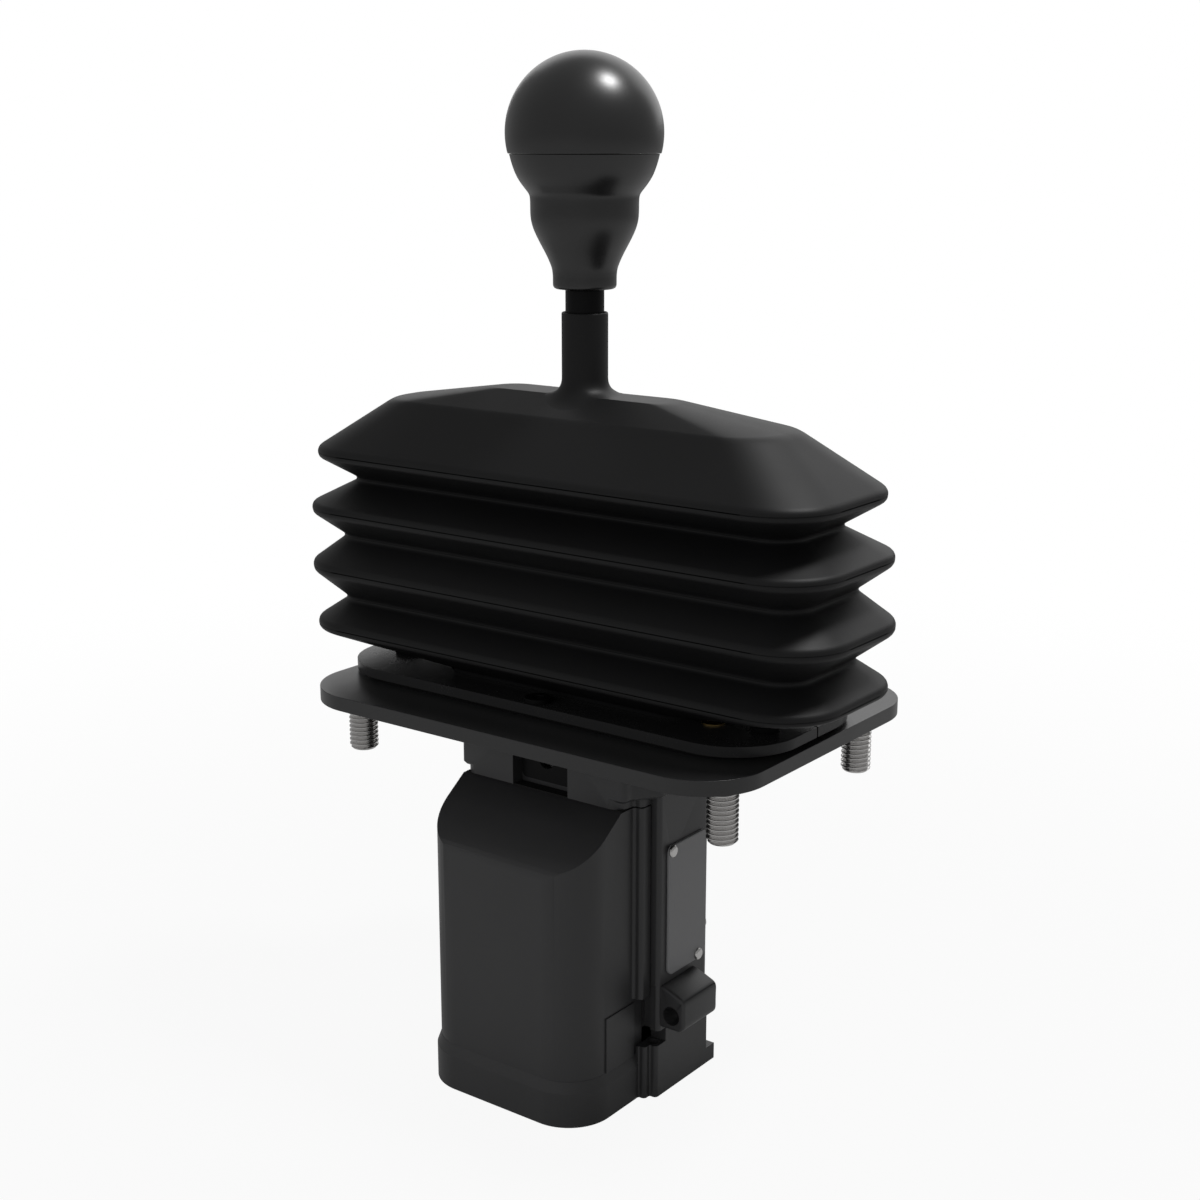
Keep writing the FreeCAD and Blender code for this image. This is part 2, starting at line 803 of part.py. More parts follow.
def board_screws():
    y0 = board_front()
    reach = body_back - back_wall + 1.5
    return Part.makeCompound([
        along_y(screw_radius * 0.7 - slip, y0, reach, x, z).fuse(
            along_y(head_radius * 0.7, y0 - 1.0, y0, x, z)) for x, z in board_spots()])


def hall_sensor():
    y1 = board_front()
    z = pinion_z()
    return box(-sensor_half, sensor_half, y1 - sensor_thick, y1, z - sensor_half, z + sensor_half)


def step_corners():
    """The two rounded steps by which each side widens from the neck to the casting's side walls."""
    return [(cover_half_width, step_front, step_hollow), (cover_rib_half_width, step_front, step_round),
            (cover_rib_half_width, body_front, 0), (body_half_width, body_front, step_round)]


def neck_and_body():
    """Outer form of the casting: neck, sloped rim under the plate and stepped side walls."""
    neck = upright(mirrored([(neck_half_width, neck_front, neck_corner)] + step_corners()
                            + [(body_half_width, body_back, body_corner)]), -neck_depth, 0)
    shoulder = body_half_width + rim_proud
    rim = upright(mirrored([(rim_half_width, neck_front, rim_corner),
                            (rim_half_width, swell_front, swell_round), (shoulder, swell_back, swell_round),
                            (shoulder, body_back, body_corner)]), -rim_depth, 0)
    rim = rim.makeChamfer(rim_slope, [e for e in rim.Edges if e.BoundBox.ZMax < -rim_depth + slip])
    body = upright(mirrored([(body_half_width, body_front, step_round),
                             (body_half_width, body_back, body_corner)]), body_bottom, -neck_depth + slip)
    return fuse_all([neck, rim, body])


def side_lugs():
    """Clamp lugs on the casting's sides, with a sloped top and a hole for a clamp screw."""
    root = body_half_width
    outer = root + lug_reach
    crown = root + lug_reach * lug_crown
    lug = front_view([(root, lug_bottom, 0), (outer, lug_bottom, lug_round),
                      (outer, lug_top - lug_chamfer, lug_round), (crown, lug_top, lug_round),
                      (root, lug_top + lug_root, 0)], lug_front, lug_back)
    lug = lug.cut(along_y(lug_hole_radius, lug_front - 1, lug_back + 1, lug_hole_x(), lug_hole_z()))
    return Part.makeCompound(both_sides(lug))


def lug_hole_x():
    return body_half_width + lug_reach * lug_crown


def lug_hole_z():
    return lug_bottom + lug_hole_height


def pivot_housing():
    """Die-cast housing: bearing walls in the neck, an open-fronted box below for the sensor."""
    wall = body_back - back_wall
    inside = [box(-cavity_half_width, cavity_half_width, neck_front + neck_wall, wall, -neck_depth - 1, 1),
              box(-body_half_width + body_wall, body_half_width - body_wall, body_front - 1, wall,
                  body_bottom - 1, -neck_depth + 1.2),
              box(-pocket_half_width, pocket_half_width, neck_front - 1, neck_front + pocket_depth,
                  -neck_depth - 1, pocket_top)]
    inside += both_sides(box(cover_half_width, cover_rib_half_width, body_front - 1, lug_front,
                             body_bottom - 1, scoop_top))
    web = box(cover_half_width - cover_wall, body_half_width - 1, body_front, lug_front + 4,
              body_bottom, scoop_top + 3)
    casting = fuse_all([cut_all(neck_and_body(), inside[:3])] + both_sides(web))
    casting = cut_all(casting, inside[3:])
    anchor = box(-tail_half_width, tail_half_width, anchor_front, wall + 0.5, anchor_bottom, anchor_top)
    posts = [along_y(2.5, board_front() + board_thick, wall + 0.5, x, z) for x, z in board_spots()]
    posts.append(along_y(bearing_boss_radius, body_back - 1, body_back + bearing_boss, 0, pivot_z))
    posts += both_sides(box(base_screw_x() - 4, body_half_width - 1, base_back - 8, body_back - 1,
                            body_bottom, body_bottom + 7))
    casting = fuse_all([casting, anchor] + posts)
    holes = [along_y(bush_radius, neck_front, neck_front + neck_wall + 1, 0, pivot_z),
             along_y(bush_radius, wall - 1, body_back + 0.2, 0, pivot_z)]
    holes += [along_y(screw_radius, wall - 1, wall + 2.5, x, z) for x, z in bracket_screw_spots()]
    holes += [along_y(screw_radius * 0.7 - slip, board_front(), wall + 1.5, x, z) for x, z in board_spots()]
    holes += [post(screw_radius, -housing_screw_depth, 1, x, y) for x, y in housing_screw_spots()]
    holes += [along_y(cover_screw_radius, body_front - 1, body_back + 1, x, z)
              for x, z in cover_screw_spots()]
    holes += [along_x(stop_radius * 0.5, -cavity_half_width - 4, -cavity_half_width + 1, 0, stop_z()),
              along_x(stop_radius * 0.5, cavity_half_width - 1, cavity_half_width + 4, 0, stop_z())]
    holes += [along_x(rivet_radius * 0.6, body_half_width - 2, body_half_width + 1, y, z)
              for y, z in rivet_spots()]
    holes += [post(base_screw_radius - slip, body_bottom - 1, body_bottom + 4, x, y)
              for x, y in base_screw_spots() if y > 0]
    holes += [along_y(keeper_screw_radius, neck_front + pocket_depth - 1, neck_front + pocket_depth + 3, x, z)
              for x, z in keeper_screw_spots()]
    return cut_all(casting, holes)


def cover_screw_spots():
    """Screws from the back of the casting into the front cover's rim."""
    x = cover_rib_half_width - cover_screw_inset
    heights = (-rim_depth - cover_screw_top, scoop_top + cover_screw_low)
    return [(sx * x, z) for sx in (-1, 1) for z in heights]


def cover_screws():
    return Part.makeCompound([
        along_y(cover_screw_radius - slip, step_front + cover_screw_tip, body_back, x, z).fuse(
            along_y(cover_head_radius, body_back, body_back + head_height, x, z))
        for x, z in cover_screw_spots()])


def cover_side_view(inset, top_gap):
    """Side view of the front cover: upright front, rounded crest and a roof up to the neck."""
    front = cover_front + inset
    back = body_front - seal_thick
    roof_back = -neck_depth - seal_thick - top_gap
    slope = (roof_back + inset * 0.4 - cover_crest) / (neck_front - cover_front)
    bend = crest_round
    crest_z = cover_crest - inset * 0.6
    lean = math.atan(slope)
    on_roof = (front + bend * math.cos(lean), crest_z + bend * math.sin(lean))
    points = [Vector(0, front, crest_z - bend), Vector(0, front, cover_bottom - inset)]
    middle = Vector(0, front + bend * 0.22, crest_z - bend * 0.18)
    edges = [Part.Arc(Vector(0, front, crest_z - bend), middle, Vector(0, on_roof[0], on_roof[1])).toShape()]
    ring = [Vector(0, on_roof[0], on_roof[1]), Vector(0, neck_front, roof_back),
            Vector(0, back, roof_back), Vector(0, back, cover_bottom - inset), points[1], points[0]]
    for a, b in zip(ring[:-1], ring[1:]):
        edges.append(Part.makeLine(a, b))
    return Part.Face(Part.Wire(edges))


def cover_block(inset, top_gap):
    half = cover_half_width - inset
    long = (body_front - cover_front)
    plan = slab(half, long, cover_corner - inset, cover_bottom - inset, 0, cover_front + inset + long)
    face = cover_side_view(inset, top_gap)
    face.translate(Vector(-half - 5, 0, 0))
    return plan.common(face.extrude(Vector(2 * half + 10, 0, 0)))


def front_cover():
    """Rounded shell over the wiring chamber, with a screw rim against the casting."""
    back = body_front - seal_thick
    roof = -neck_depth - seal_thick
    shell = cover_block(0, 0)
    inner = cover_half_width - cover_wall
    ribs = both_sides(upright([(inner, step_front - cover_wall, 0),
                               (cover_half_width, step_front - cover_wall, 0),
                               (cover_half_width, step_front, step_hollow),
                               (cover_rib_half_width, step_front, step_round),
                               (cover_rib_half_width, back, 0), (inner, back, 0)], scoop_top, roof))
    pad = box(cover_half_width - 1, cover_half_width + pad_proud, cover_front + cover_corner, step_front,
              cover_bottom, pad_top)
    whole = fuse_all([shell] + ribs + both_sides(pad))
    hollow = cover_block(cover_wall, cover_wall)
    opening = box(-inner, inner, back - 4, back + 1, cover_bottom - 1, roof - cover_wall)
    holes = [along_y(cover_screw_radius - slip, step_front + cover_screw_tip, back + 1, x, z)
             for x, z in cover_screw_spots()]
    return cut_all(whole, [hollow, opening] + holes)


def cover_seal():
    """Flat seal between the casting's open front and the cover."""
    y0 = body_front - seal_thick
    edge = cover_rib_half_width - seal_inset
    outer = box(-edge, edge, y0, body_front, scoop_top, -neck_depth - seal_thick)
    legs = box(-cover_half_width + seal_inset, cover_half_width - seal_inset, y0, body_front,
               body_bottom, scoop_top)
    over = box(-neck_half_width, neck_half_width, neck_front + 0.5, body_front,
               -neck_depth - seal_thick, -neck_depth)
    inner = box(-cover_half_width + cover_wall, cover_half_width - cover_wall, y0 - 1, body_front + 1,
                body_bottom - 1, -neck_depth - seal_thick - cover_wall)
    holes = [along_y(cover_screw_radius, y0 - 1, body_front + 1, x, z) for x, z in cover_screw_spots()]
    return cut_all(fuse_all([outer, legs, over]), [inner] + holes)


def base_outline():
    """Plan of the base: wide rounded front and, on each side, two rounded steps out to the rear."""
    return mirrored([(base_half_width, base_front, base_corner),
                     (base_half_width, base_step_front, base_hollow),
                     (base_step_x, base_step_front, base_round),
                     (base_step_x, corner_boss_front, base_hollow),
                     (body_half_width, corner_boss_front, base_round), (body_half_width, base_back, 0)])


def base_well():
    """The base's inside: the front chamber and a channel between the side walls behind it."""
    inset = base_wall + 1.5
    front = slab(base_half_width - inset, (base_back - base_front) / 2 - inset, base_corner - inset,
                 base_bottom + base_floor, cover_bottom + 1, (base_back + base_front) / 2)
    rear = box(-body_half_width + inset, body_half_width - inset, corner_boss_back, base_back - inset,
               base_bottom + base_floor, cover_bottom + 1)
    return front.fuse(rear)


def base_screw_spots():
    return [(sx * base_screw_x(), y) for sx in (-1, 1)
            for y in (corner_boss_front + corner_boss_screw, base_back - rear_screw_inset)]


def base_screw_x():
    return body_half_width - base_screw_inset


def base_cap():
    """Cast base: floor with the cable inlet, sloped front shoulder, taller sides and screw bosses."""
    low = upright(base_outline(), base_bottom, cover_bottom - base_band)
    middle = (body_back + base_front) / 2
    reach = (body_back - base_front) / 2
    step = base_half_width - cover_half_width
    below = rounded_outline(base_half_width, reach, base_corner, cover_bottom - base_band, middle)
    above = rounded_outline(cover_half_width, reach - step, base_corner - step, cover_bottom, middle)
    shoulder = loft([below, above])
    front_only = box(-body_half_width, body_half_width, base_front - 1, base_back - base_wall,
                     cover_bottom - base_band, cover_bottom)
    boss = upright(base_outline(), cover_bottom - base_band, corner_boss_top)
    boss = boss.common(box(-body_half_width, body_half_width, base_step_front - base_hollow, base_back,
                           base_bottom, 0))
    tall = box(-body_half_width, body_half_width, corner_boss_back, base_back, base_bottom, body_bottom)
    core = box(-cover_half_width - seat, cover_half_width + seat, base_step_front - 1, base_back + 1,
               cover_bottom, 0)
    lip = box(-body_half_width, body_half_width, base_back - 1, base_lip_back, base_bottom, base_lip_top)
    whole = fuse_all([low, shoulder.common(front_only), tall.cut(core), boss.cut(core), lip, base_rim()])
    whole = whole.cut(base_well())
    holes = [post(inlet_radius, base_bottom - 1, base_bottom + base_floor + 1, 0, inlet_y)]
    for x, y in base_screw_spots():
        holes.append(post(base_screw_radius, base_bottom - 1, body_bottom + 1, x, y))
        holes.append(Part.makeCone(base_screw_head + slip, base_screw_radius, 1.2, Vector(x, y, base_bottom)))
    return cut_all(whole, holes)


def base_rim():
    """Back wall of the base, up to the casting."""
    return box(-cover_half_width - 1, cover_half_width + 1, base_back - base_wall, base_back,
               cover_bottom - 1, body_bottom)


def base_screws():
    """Cap screws up through the base: the front pair end in its bosses, the rear pair in the casting."""
    screws = []
    for x, y in base_screw_spots():
        top = corner_boss_top - 2.0 if y < 0 else body_bottom - 3.0
        shank = post(base_screw_radius - slip, base_bottom, top, x, y)
        screws.append(shank.fuse(Part.makeCone(base_screw_head, base_screw_radius - slip, 1.2,
                                               Vector(x, y, base_bottom))))
    return Part.makeCompound(screws)


def bush(y0, y1, flange_y):
    body = along_y(bush_radius, y0, y1, 0, pivot_z)
    ring = along_y(bush_flange_radius, min(flange_y), max(flange_y), 0, pivot_z)
    hole = along_y(shaft_dia / 2 + running_gap, y0 - 2, y1 + 2, 0, pivot_z)
    return body.fuse(ring).cut(hole)


def front_bush():
    inner = neck_front + neck_wall
    return bush(neck_front + pocket_depth, inner, (inner, inner + bush_flange))


def rear_bush():
    inner = body_back - back_wall
    return bush(inner, body_back, (inner - bush_flange, inner))


def axle_keeper():
    """Small plate in the neck's front pocket that keeps the shaft in its bearing."""
    y0 = neck_front + pocket_depth - keeper_thick
    plate = box(-keeper_half_width, keeper_half_width, y0, y0 + keeper_thick, keeper_bottom, pocket_top - 0.3)
    plate = plate.makeFillet(1.5, [e for e in plate.Edges if e.BoundBox.ZLength < 0.01
                                   and e.BoundBox.XLength < 0.01 and e.BoundBox.ZMax < keeper_bottom + 0.1])
    tools = [along_y(keeper_hole_radius, y0 - 1, y0 + 2, 0, pivot_z)]
    tools += [along_y(keeper_screw_radius, y0 - 1, y0 + 2, x, z) for x, z in keeper_screw_spots()]
    return cut_all(plate, tools)


def keeper_screw_spots():
    return [(sx * (keeper_half_width - keeper_screw_inset), pocket_top - keeper_screw_drop) for sx in (-1, 1)]


def keeper_screws():
    y0 = neck_front + pocket_depth
    return Part.makeCompound([
        along_y(keeper_screw_radius, y0 - keeper_thick, y0 + keeper_screw_depth, x, z).fuse(
            along_y(keeper_head_radius, y0 - keeper_thick - keeper_head, y0 - keeper_thick, x, z))
        for x, z in keeper_screw_spots()])


def stop_z():
    return pivot_z + stop_rise


def stop_buffers():
    """Rubber buffers in the neck's side walls, where the hub's boss lands at each end of its swing."""
    wall = cavity_half_width
    buffer = along_x(stop_radius, wall - stop_length, wall, 0, stop_z())
    tail = along_x(stop_radius * 0.5, wall - 1, wall + stop_tail, 0, stop_z())
    return Part.makeCompound(both_sides(buffer.fuse(tail)))


def return_spring():
    """Torsion spring about the shaft; its two straight legs straddle the anchor and the hub's finger."""
    radius = tail_half_width + spring_gap + spring_wire / 2
    y0 = hub_rear + 0.2 + spring_wire / 2
    pitch = spring_wire + 0.05
    helix = Part.makeHelix(pitch, pitch * spring_turns, radius)
    section = Part.Wire(Part.makeCircle(spring_wire / 2, Vector(radius, 0, 0), Vector(0, 1, 0)))
    coil = Part.Wire(helix).makePipeShell([section], True, True)
    coil.rotate(Vector(0, 0, 0), Vector(1, 0, 0), -90)
    coil.translate(Vector(0, y0, pivot_z))
    reach = anchor_bottom - 5.0
    legs = [post(spring_wire / 2, reach, pivot_z, radius, y0),
            post(spring_wire / 2, reach, pivot_z, -radius, y0 + pitch * spring_turns)]
    knees = [Part.makeSphere(spring_wire / 2, Vector(radius, y0, pivot_z)),
             Part.makeSphere(spring_wire / 2, Vector(-radius, y0 + pitch * spring_turns, pivot_z))]
    return fuse_all([coil] + knees + legs)


def terminal_carrier():
    """Sheet bracket across the cover's opening that carries the terminal block."""
    y0 = carrier_y - carrier_thick
    plate = box(-carrier_half_width, carrier_half_width, y0, carrier_y, carrier_bottom, carrier_top)
    leg = box(bracket_half_width, bracket_half_width + carrier_thick, y0, carrier_leg_back,
              bracket_bottom, bracket_bottom + 10)
    carrier = fuse_all([plate] + both_sides(leg))
    tools = both_sides(along_x(screw_radius + slip, bracket_half_width - 1, carrier_half_width + 1,
                               carrier_leg_back - 4, bracket_bottom + 5))
    return cut_all(carrier, tools)


def carrier_screws():
    """Screws through the carrier's legs into the gear bracket's sides."""
    x0 = bracket_half_width - bracket_thick
    x1 = bracket_half_width + carrier_thick
    y, z = carrier_leg_back - 4, bracket_bottom + 5
    screw = along_x(screw_radius, x0, x1, y, z).fuse(along_x(head_radius, x1, x1 + head_height, y, z))
    return Part.makeCompound(both_sides(screw))


def terminal_xs():
    """Centre of each terminal across the block."""
    step = 2 * block_half_width / terminal_count
    return [-block_half_width + step * (i + 0.5) for i in range(terminal_count)]


def terminal_block():
    back = carrier_y - carrier_thick
    front = back - block_depth
    block = box(-block_half_width, block_half_width, front, back,
                block_z - block_height / 2, block_z + block_height / 2)
    half = block_half_width / terminal_count - wire_mouth_gap
    tools = []
    for x in terminal_xs():
        tools.append(along_y(terminal_well_radius, front - 1, front + terminal_well_depth,
                             x, block_z + terminal_rise))
        tools.append(box(x - half, x + half, front - 1, front + wire_mouth_depth,
                         block_z - wire_mouth_low, block_z - wire_mouth_high))
    return cut_all(block, tools)


def terminal_screws():
    front = carrier_y - carrier_thick - block_depth
    return Part.makeCompound([
        along_y(terminal_well_radius - 2 * slip, front + terminal_screw_depth, front + terminal_well_depth,
                x, block_z + terminal_rise) for x in terminal_xs()])


def rivet_spots():
    """Two rivets on the plate's diagonal, as y and z."""
    half = nameplate_width / 2 - rivet_inset
    return [(nameplate_y - half, nameplate_top - rivet_inset),
            (nameplate_y + half, nameplate_bottom + rivet_inset)]


def name_plate():
    """Blank metal plate on the casting's right side."""
    x0 = body_half_width
    half = nameplate_width / 2
    plate = box(x0, x0 + nameplate_thick, nameplate_y - half, nameplate_y + half,
                nameplate_bottom, nameplate_top)
    corners = [e for e in plate.Edges if e.BoundBox.XLength > nameplate_thick / 2]
    plate = plate.makeFillet(nameplate_corner, corners)
    return cut_all(plate, [along_x(rivet_radius * 0.6 + slip, x0 - 1, x0 + 2, y, z)
                           for y, z in rivet_spots()])


def plate_rivets():
    x0 = body_half_width
    face = x0 + nameplate_thick
    return Part.makeCompound([
        along_x(rivet_radius * 0.6, x0 - 2, face, y, z).fuse(
            Part.makeSphere(rivet_radius, Vector(face, y, z)).common(
                box(face, face + 2, y - 3, y + 3, z - 3, z + 3)))
        for y, z in rivet_spots()])


parts = {
    "flange_plate": flange_plate,
    "mounting_studs": mounting_studs,
    "housing_screws": housing_screws,
    "clamp_frame_front": lambda: frame_half(-1),
    "clamp_frame_rear": lambda: frame_half(1),
    "clamp_screws": clamp_screws,
    "gate_inserts": gate_inserts,
    "bellows": bellows,
    "knob_cap": knob_cap,
    "knob_base": knob_base,
    "knob_insert": knob_insert,
    "lever_rod": lever_rod,
    "pivot_hub": pivot_hub,
    "pivot_shaft": pivot_shaft,
    "hub_pin": hub_pin,
    "rod_set_screw": rod_set_screw,
    "sector_gear": sector_gear,
    "sector_screws": sector_screws,
    "pinion_gear": pinion_gear,
    "magnet_holder": magnet_holder,
    "sensor_magnet": sensor_magnet,
    "spindle_bush": spindle_bush,
    "gear_bracket": gear_bracket,
    "bracket_screws": bracket_screws,
    "sensor_board": sensor_board,
    "board_screws": board_screws,
    "hall_sensor": hall_sensor,
    "pivot_housing": pivot_housing,
    "side_lugs": side_lugs,
    "cover_screws": cover_screws,
    "front_cover": front_cover,
    "cover_seal": cover_seal,
    "base_cap": base_cap,
    "base_screws": base_screws,
    "front_bush": front_bush,
    "rear_bush": rear_bush,
    "axle_keeper": axle_keeper,
    "keeper_screws": keeper_screws,
    "stop_buffers": stop_buffers,
    "return_spring": return_spring,
    "terminal_carrier": terminal_carrier,
    "carrier_screws": carrier_screws,
    "terminal_block": terminal_block,
    "terminal_screws": terminal_screws,
    "name_plate": name_plate,
    "plate_rivets": plate_rivets,
}

os.makedirs("parts", exist_ok=True)
for name, make in parts.items():
    shape = make()
    shape.translate(Vector(0, -plate_offset, 0))
    print(name, "solids", len(shape.Solids), "valid", shape.isValid(), "volume", round(shape.Volume, 1))
    shape.exportStep("parts/" + name + ".step")
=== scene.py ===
import json
import math

import bmesh
import bpy
import numpy as np
from bpy.props import FloatProperty, FloatVectorProperty, PointerProperty
from mathutils import Euler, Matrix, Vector


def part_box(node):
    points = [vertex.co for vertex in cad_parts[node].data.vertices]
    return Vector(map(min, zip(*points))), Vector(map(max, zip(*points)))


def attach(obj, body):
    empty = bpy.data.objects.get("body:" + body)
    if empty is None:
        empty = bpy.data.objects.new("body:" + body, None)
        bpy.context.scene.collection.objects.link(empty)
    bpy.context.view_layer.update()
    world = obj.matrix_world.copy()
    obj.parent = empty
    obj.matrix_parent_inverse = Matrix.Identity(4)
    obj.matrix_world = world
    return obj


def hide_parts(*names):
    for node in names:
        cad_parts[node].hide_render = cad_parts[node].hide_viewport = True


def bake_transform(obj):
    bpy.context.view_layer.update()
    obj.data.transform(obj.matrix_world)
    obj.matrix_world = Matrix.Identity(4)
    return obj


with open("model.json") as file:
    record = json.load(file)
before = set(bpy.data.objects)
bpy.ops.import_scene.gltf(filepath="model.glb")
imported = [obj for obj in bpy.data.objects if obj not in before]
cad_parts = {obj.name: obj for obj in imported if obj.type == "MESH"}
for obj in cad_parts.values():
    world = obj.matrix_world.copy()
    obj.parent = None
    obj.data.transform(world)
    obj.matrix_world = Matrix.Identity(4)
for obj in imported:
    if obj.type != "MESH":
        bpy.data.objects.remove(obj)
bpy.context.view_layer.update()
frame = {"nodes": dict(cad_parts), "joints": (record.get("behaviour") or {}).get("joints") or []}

bl_info = {
    "name": "Panel Lever Dressing",
    "version": (1, 0, 0),
    "blender": (4, 5, 0),
    "location": "3D View > Sidebar > Panel Lever",
    "description": "Rubber gaiter, knob, studs, housing and finishes for a panel-mounted lever",
    "category": "Object",
}

mm = 0.001
full_turn = 2 * math.pi
quarter_turn = math.pi / 2
tilt_joint = next(joint for joint in frame["joints"] if joint["name"] == "lever_tilt")
pivot = np.array(tilt_joint["pos_m"])
lever_y = float(pivot[1])
plate_low, plate_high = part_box("flange_plate")
frame_low, frame_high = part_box("clamp_frame_front")
rear_low, rear_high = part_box("clamp_frame_rear")
gaiter_low, gaiter_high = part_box("bellows")
ball_low, ball_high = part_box("knob_cap")
collar_low, collar_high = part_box("knob_base")
base_low, base_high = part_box("base_cap")

# The clamp frame's corners in the solids, the corner that it gets here, and its two ends
frame_wide_corner, frame_tight_corner, frame_full_corner = 19.0 * mm, 9.0 * mm, 18.6 * mm
frame_right_end, frame_left_end = 69.4 * mm, -72.0 * mm

# The studio: the share of its white that gloss mirrors, the world's light, and plain white
mirrored_share = 0.2
world_light, white_light = 0.15, 1.0
white, black = (1, 1, 1, 1), (0, 0, 0, 1)


class LeverSizes(bpy.types.PropertyGroup):
    fold_round: FloatProperty(
        name="Fold rounding", description="How far the gaiter's crests and valleys are rounded",
        default=1.6 * mm, min=0.2 * mm, max=4 * mm, unit="LENGTH")
    cap_round: FloatProperty(
        name="Cap rounding", description="Rounding of the gaiter cap's ridge and knee",
        default=1.9 * mm, min=0.2 * mm, max=4 * mm, unit="LENGTH")
    wall: FloatProperty(
        name="Rubber wall", description="Thickness of the gaiter's wall",
        default=1.5 * mm, min=0.5 * mm, max=2 * mm, unit="LENGTH")
    thread_pitch: FloatProperty(
        name="Thread pitch", description="Pitch of the mounting studs' thread",
        default=1.25 * mm, min=0.5 * mm, max=2 * mm, unit="LENGTH")
    edge: FloatProperty(
        name="Edge rounding", description="Rounding of cut and moulded edges",
        default=0.45 * mm, min=0.05 * mm, max=1 * mm, unit="LENGTH")
    knob_step: FloatProperty(
        name="Knob step", description="How far the knob's upper shell stands over the lower one",
        default=0.35 * mm, min=0, max=1 * mm, unit="LENGTH")


def colour(name, description, value):
    return FloatVectorProperty(name=name, description=description, default=value, subtype="COLOR",
                               size=3, min=0, max=1)


class LeverColours(bpy.types.PropertyGroup):
    rubber: colour("Rubber", "The gaiter's black rubber", (0.0050, 0.0050, 0.0053))
    knob: colour("Knob", "The knob's moulded plastic", (0.0050, 0.0050, 0.0052))
    coated: colour("Coated plate", "Flange plate and clamp frame", (0.0210, 0.0210, 0.0215))
    casting: colour("Casting", "Housing, cover and base", (0.0310, 0.0310, 0.0320))
    label: colour("Blank plate", "Grey blank plate on the housing's side", (0.230, 0.230, 0.235))
    floor: colour("Floor", "Pale studio floor", (0.45, 0.45, 0.45))


class Wire:
    """A node's output. An operator on it adds the Math node that works the value out."""

    def __init__(self, graph, socket):
        self.graph = graph
        self.socket = socket

    def combined(self, operation, first, second):
        return self.graph.node("ShaderNodeMath", {"operation": operation}, {0: first, 1: second})

    def __add__(self, other):
        return self.combined("ADD", self, other)

    def __radd__(self, other):
        return self.combined("ADD", other, self)

    def __mul__(self, other):
        return self.combined("MULTIPLY", self, other)

    def __rmul__(self, other):
        return self.combined("MULTIPLY", other, self)


class Nodes:
    """A node tree, whose nodes all come from one method."""

    def __init__(self, tree):
        self.tree = tree

    def feed(self, node, inputs):
        for key, value in inputs.items():
            if isinstance(value, Wire):
                self.tree.links.new(value.socket, node.inputs[key])
            else:
                node.inputs[key].default_value = value

    def added(self, kind, settings=None, inputs=None):
        """Adds a node: its settings first, then its sockets' values or links."""
        made = self.tree.nodes.new(kind)
        for key, value in (settings or {}).items():
            setattr(made, key, value)
        self.feed(made, inputs or {})
        return made

    def node(self, kind, settings=None, inputs=None, output=0):
        """Adds a node and gives one of its outputs."""
        return Wire(self, self.added(kind, settings, inputs).outputs[output])

    def background_seen(self):
        """How much of the white studio a ray meets: all for the camera, a share in gloss."""
        camera = self.node("ShaderNodeLightPath", output="Is Camera Ray")
        mirrored = self.node("ShaderNodeLightPath", output="Is Glossy Ray")
        through = self.node("ShaderNodeLightPath", output="Is Transmission Ray")
        return camera.combined("MAXIMUM", camera, (mirrored + through) * mirrored_share)


class Graph(Nodes):
    """The node graph of one material, with its Principled shader."""

    def __init__(self, name, **constants):
        self.material = bpy.data.materials.new(name)
        self.material.use_nodes = True
        super().__init__(self.material.node_tree)
        self.shader = self.tree.nodes["Principled BSDF"]
        self.feed(self.shader, constants)

    def place(self):
        """Object coordinates, which are metres in the part's own frame."""
        return self.node("ShaderNodeTexCoord", output="Object")

    def stretched(self, scale):
        return self.node("ShaderNodeMapping", None, {"Vector": self.place(), "Scale": scale})

    def noise(self, grain, detail=3.0, roughness=0.55, vector=None):
        """Fractal noise from 0 to 1, whose coarsest grain is about that many metres across."""
        return self.node("ShaderNodeTexNoise", None, {
            "Vector": vector or self.place(), "Scale": 1.0 / grain, "Detail": detail,
            "Roughness": roughness})

    def tones(self, factor, dark, light):
        """A colour that goes from dark to light with factor."""
        return self.node("ShaderNodeMix", {"data_type": "RGBA"}, {
            0: factor, 6: (*dark, 1), 7: (*light, 1)}, output=2)

    def bump(self, height, depth):
        return self.node("ShaderNodeBump", None, {
            "Strength": 1.0, "Distance": depth, "Height": height})

    def surface(self, colour, roughness, normal):
        self.feed(self.shader, {"Base Color": colour, "Roughness": roughness, "Normal": normal})
        return self.material


def shades(tone, low, high):
    """Two versions of a colour, darker and lighter by the given factors."""
    return tuple(c * low for c in tone), tuple(min(c * high, 1) for c in tone)


def moulded(name, tone, grain, depth, roughness, gloss, spread, blotch):
    """A moulded or coated surface: fine raised grain, broad soft variation of tone and gloss.

    Both noises vary about 0.5, so half of what each may add to the roughness is taken off first.
    """
    graph = Graph(name, **{"Specular IOR Level": gloss})
    broad = graph.noise(blotch, detail=4)
    fine = graph.noise(grain, detail=2, roughness=0.4)
    dark, light = shades(tone, 1 - spread, 1 + spread)
    broad_gloss, fine_gloss = spread * 0.8, 0.06
    return graph.surface(
        colour=graph.tones(broad, dark, light),
        roughness=(broad * broad_gloss + fine * fine_gloss
                   + (roughness - (broad_gloss + fine_gloss) / 2)),
        normal=graph.bump(fine, depth))


def gaiter_rubber():
    """Satin black rubber with a faint bloom and a very fine moulded grain."""
    return moulded("gaiter_rubber", tuple(colours().rubber), grain=0.35 * mm, depth=0.010 * mm,
                   roughness=0.52, gloss=0.30, spread=0.16, blotch=22 * mm)


def knob_plastic():
    return moulded("knob_plastic", tuple(colours().knob), grain=0.28 * mm, depth=0.003 * mm,
                   roughness=0.33, gloss=0.75, spread=0.08, blotch=11 * mm)


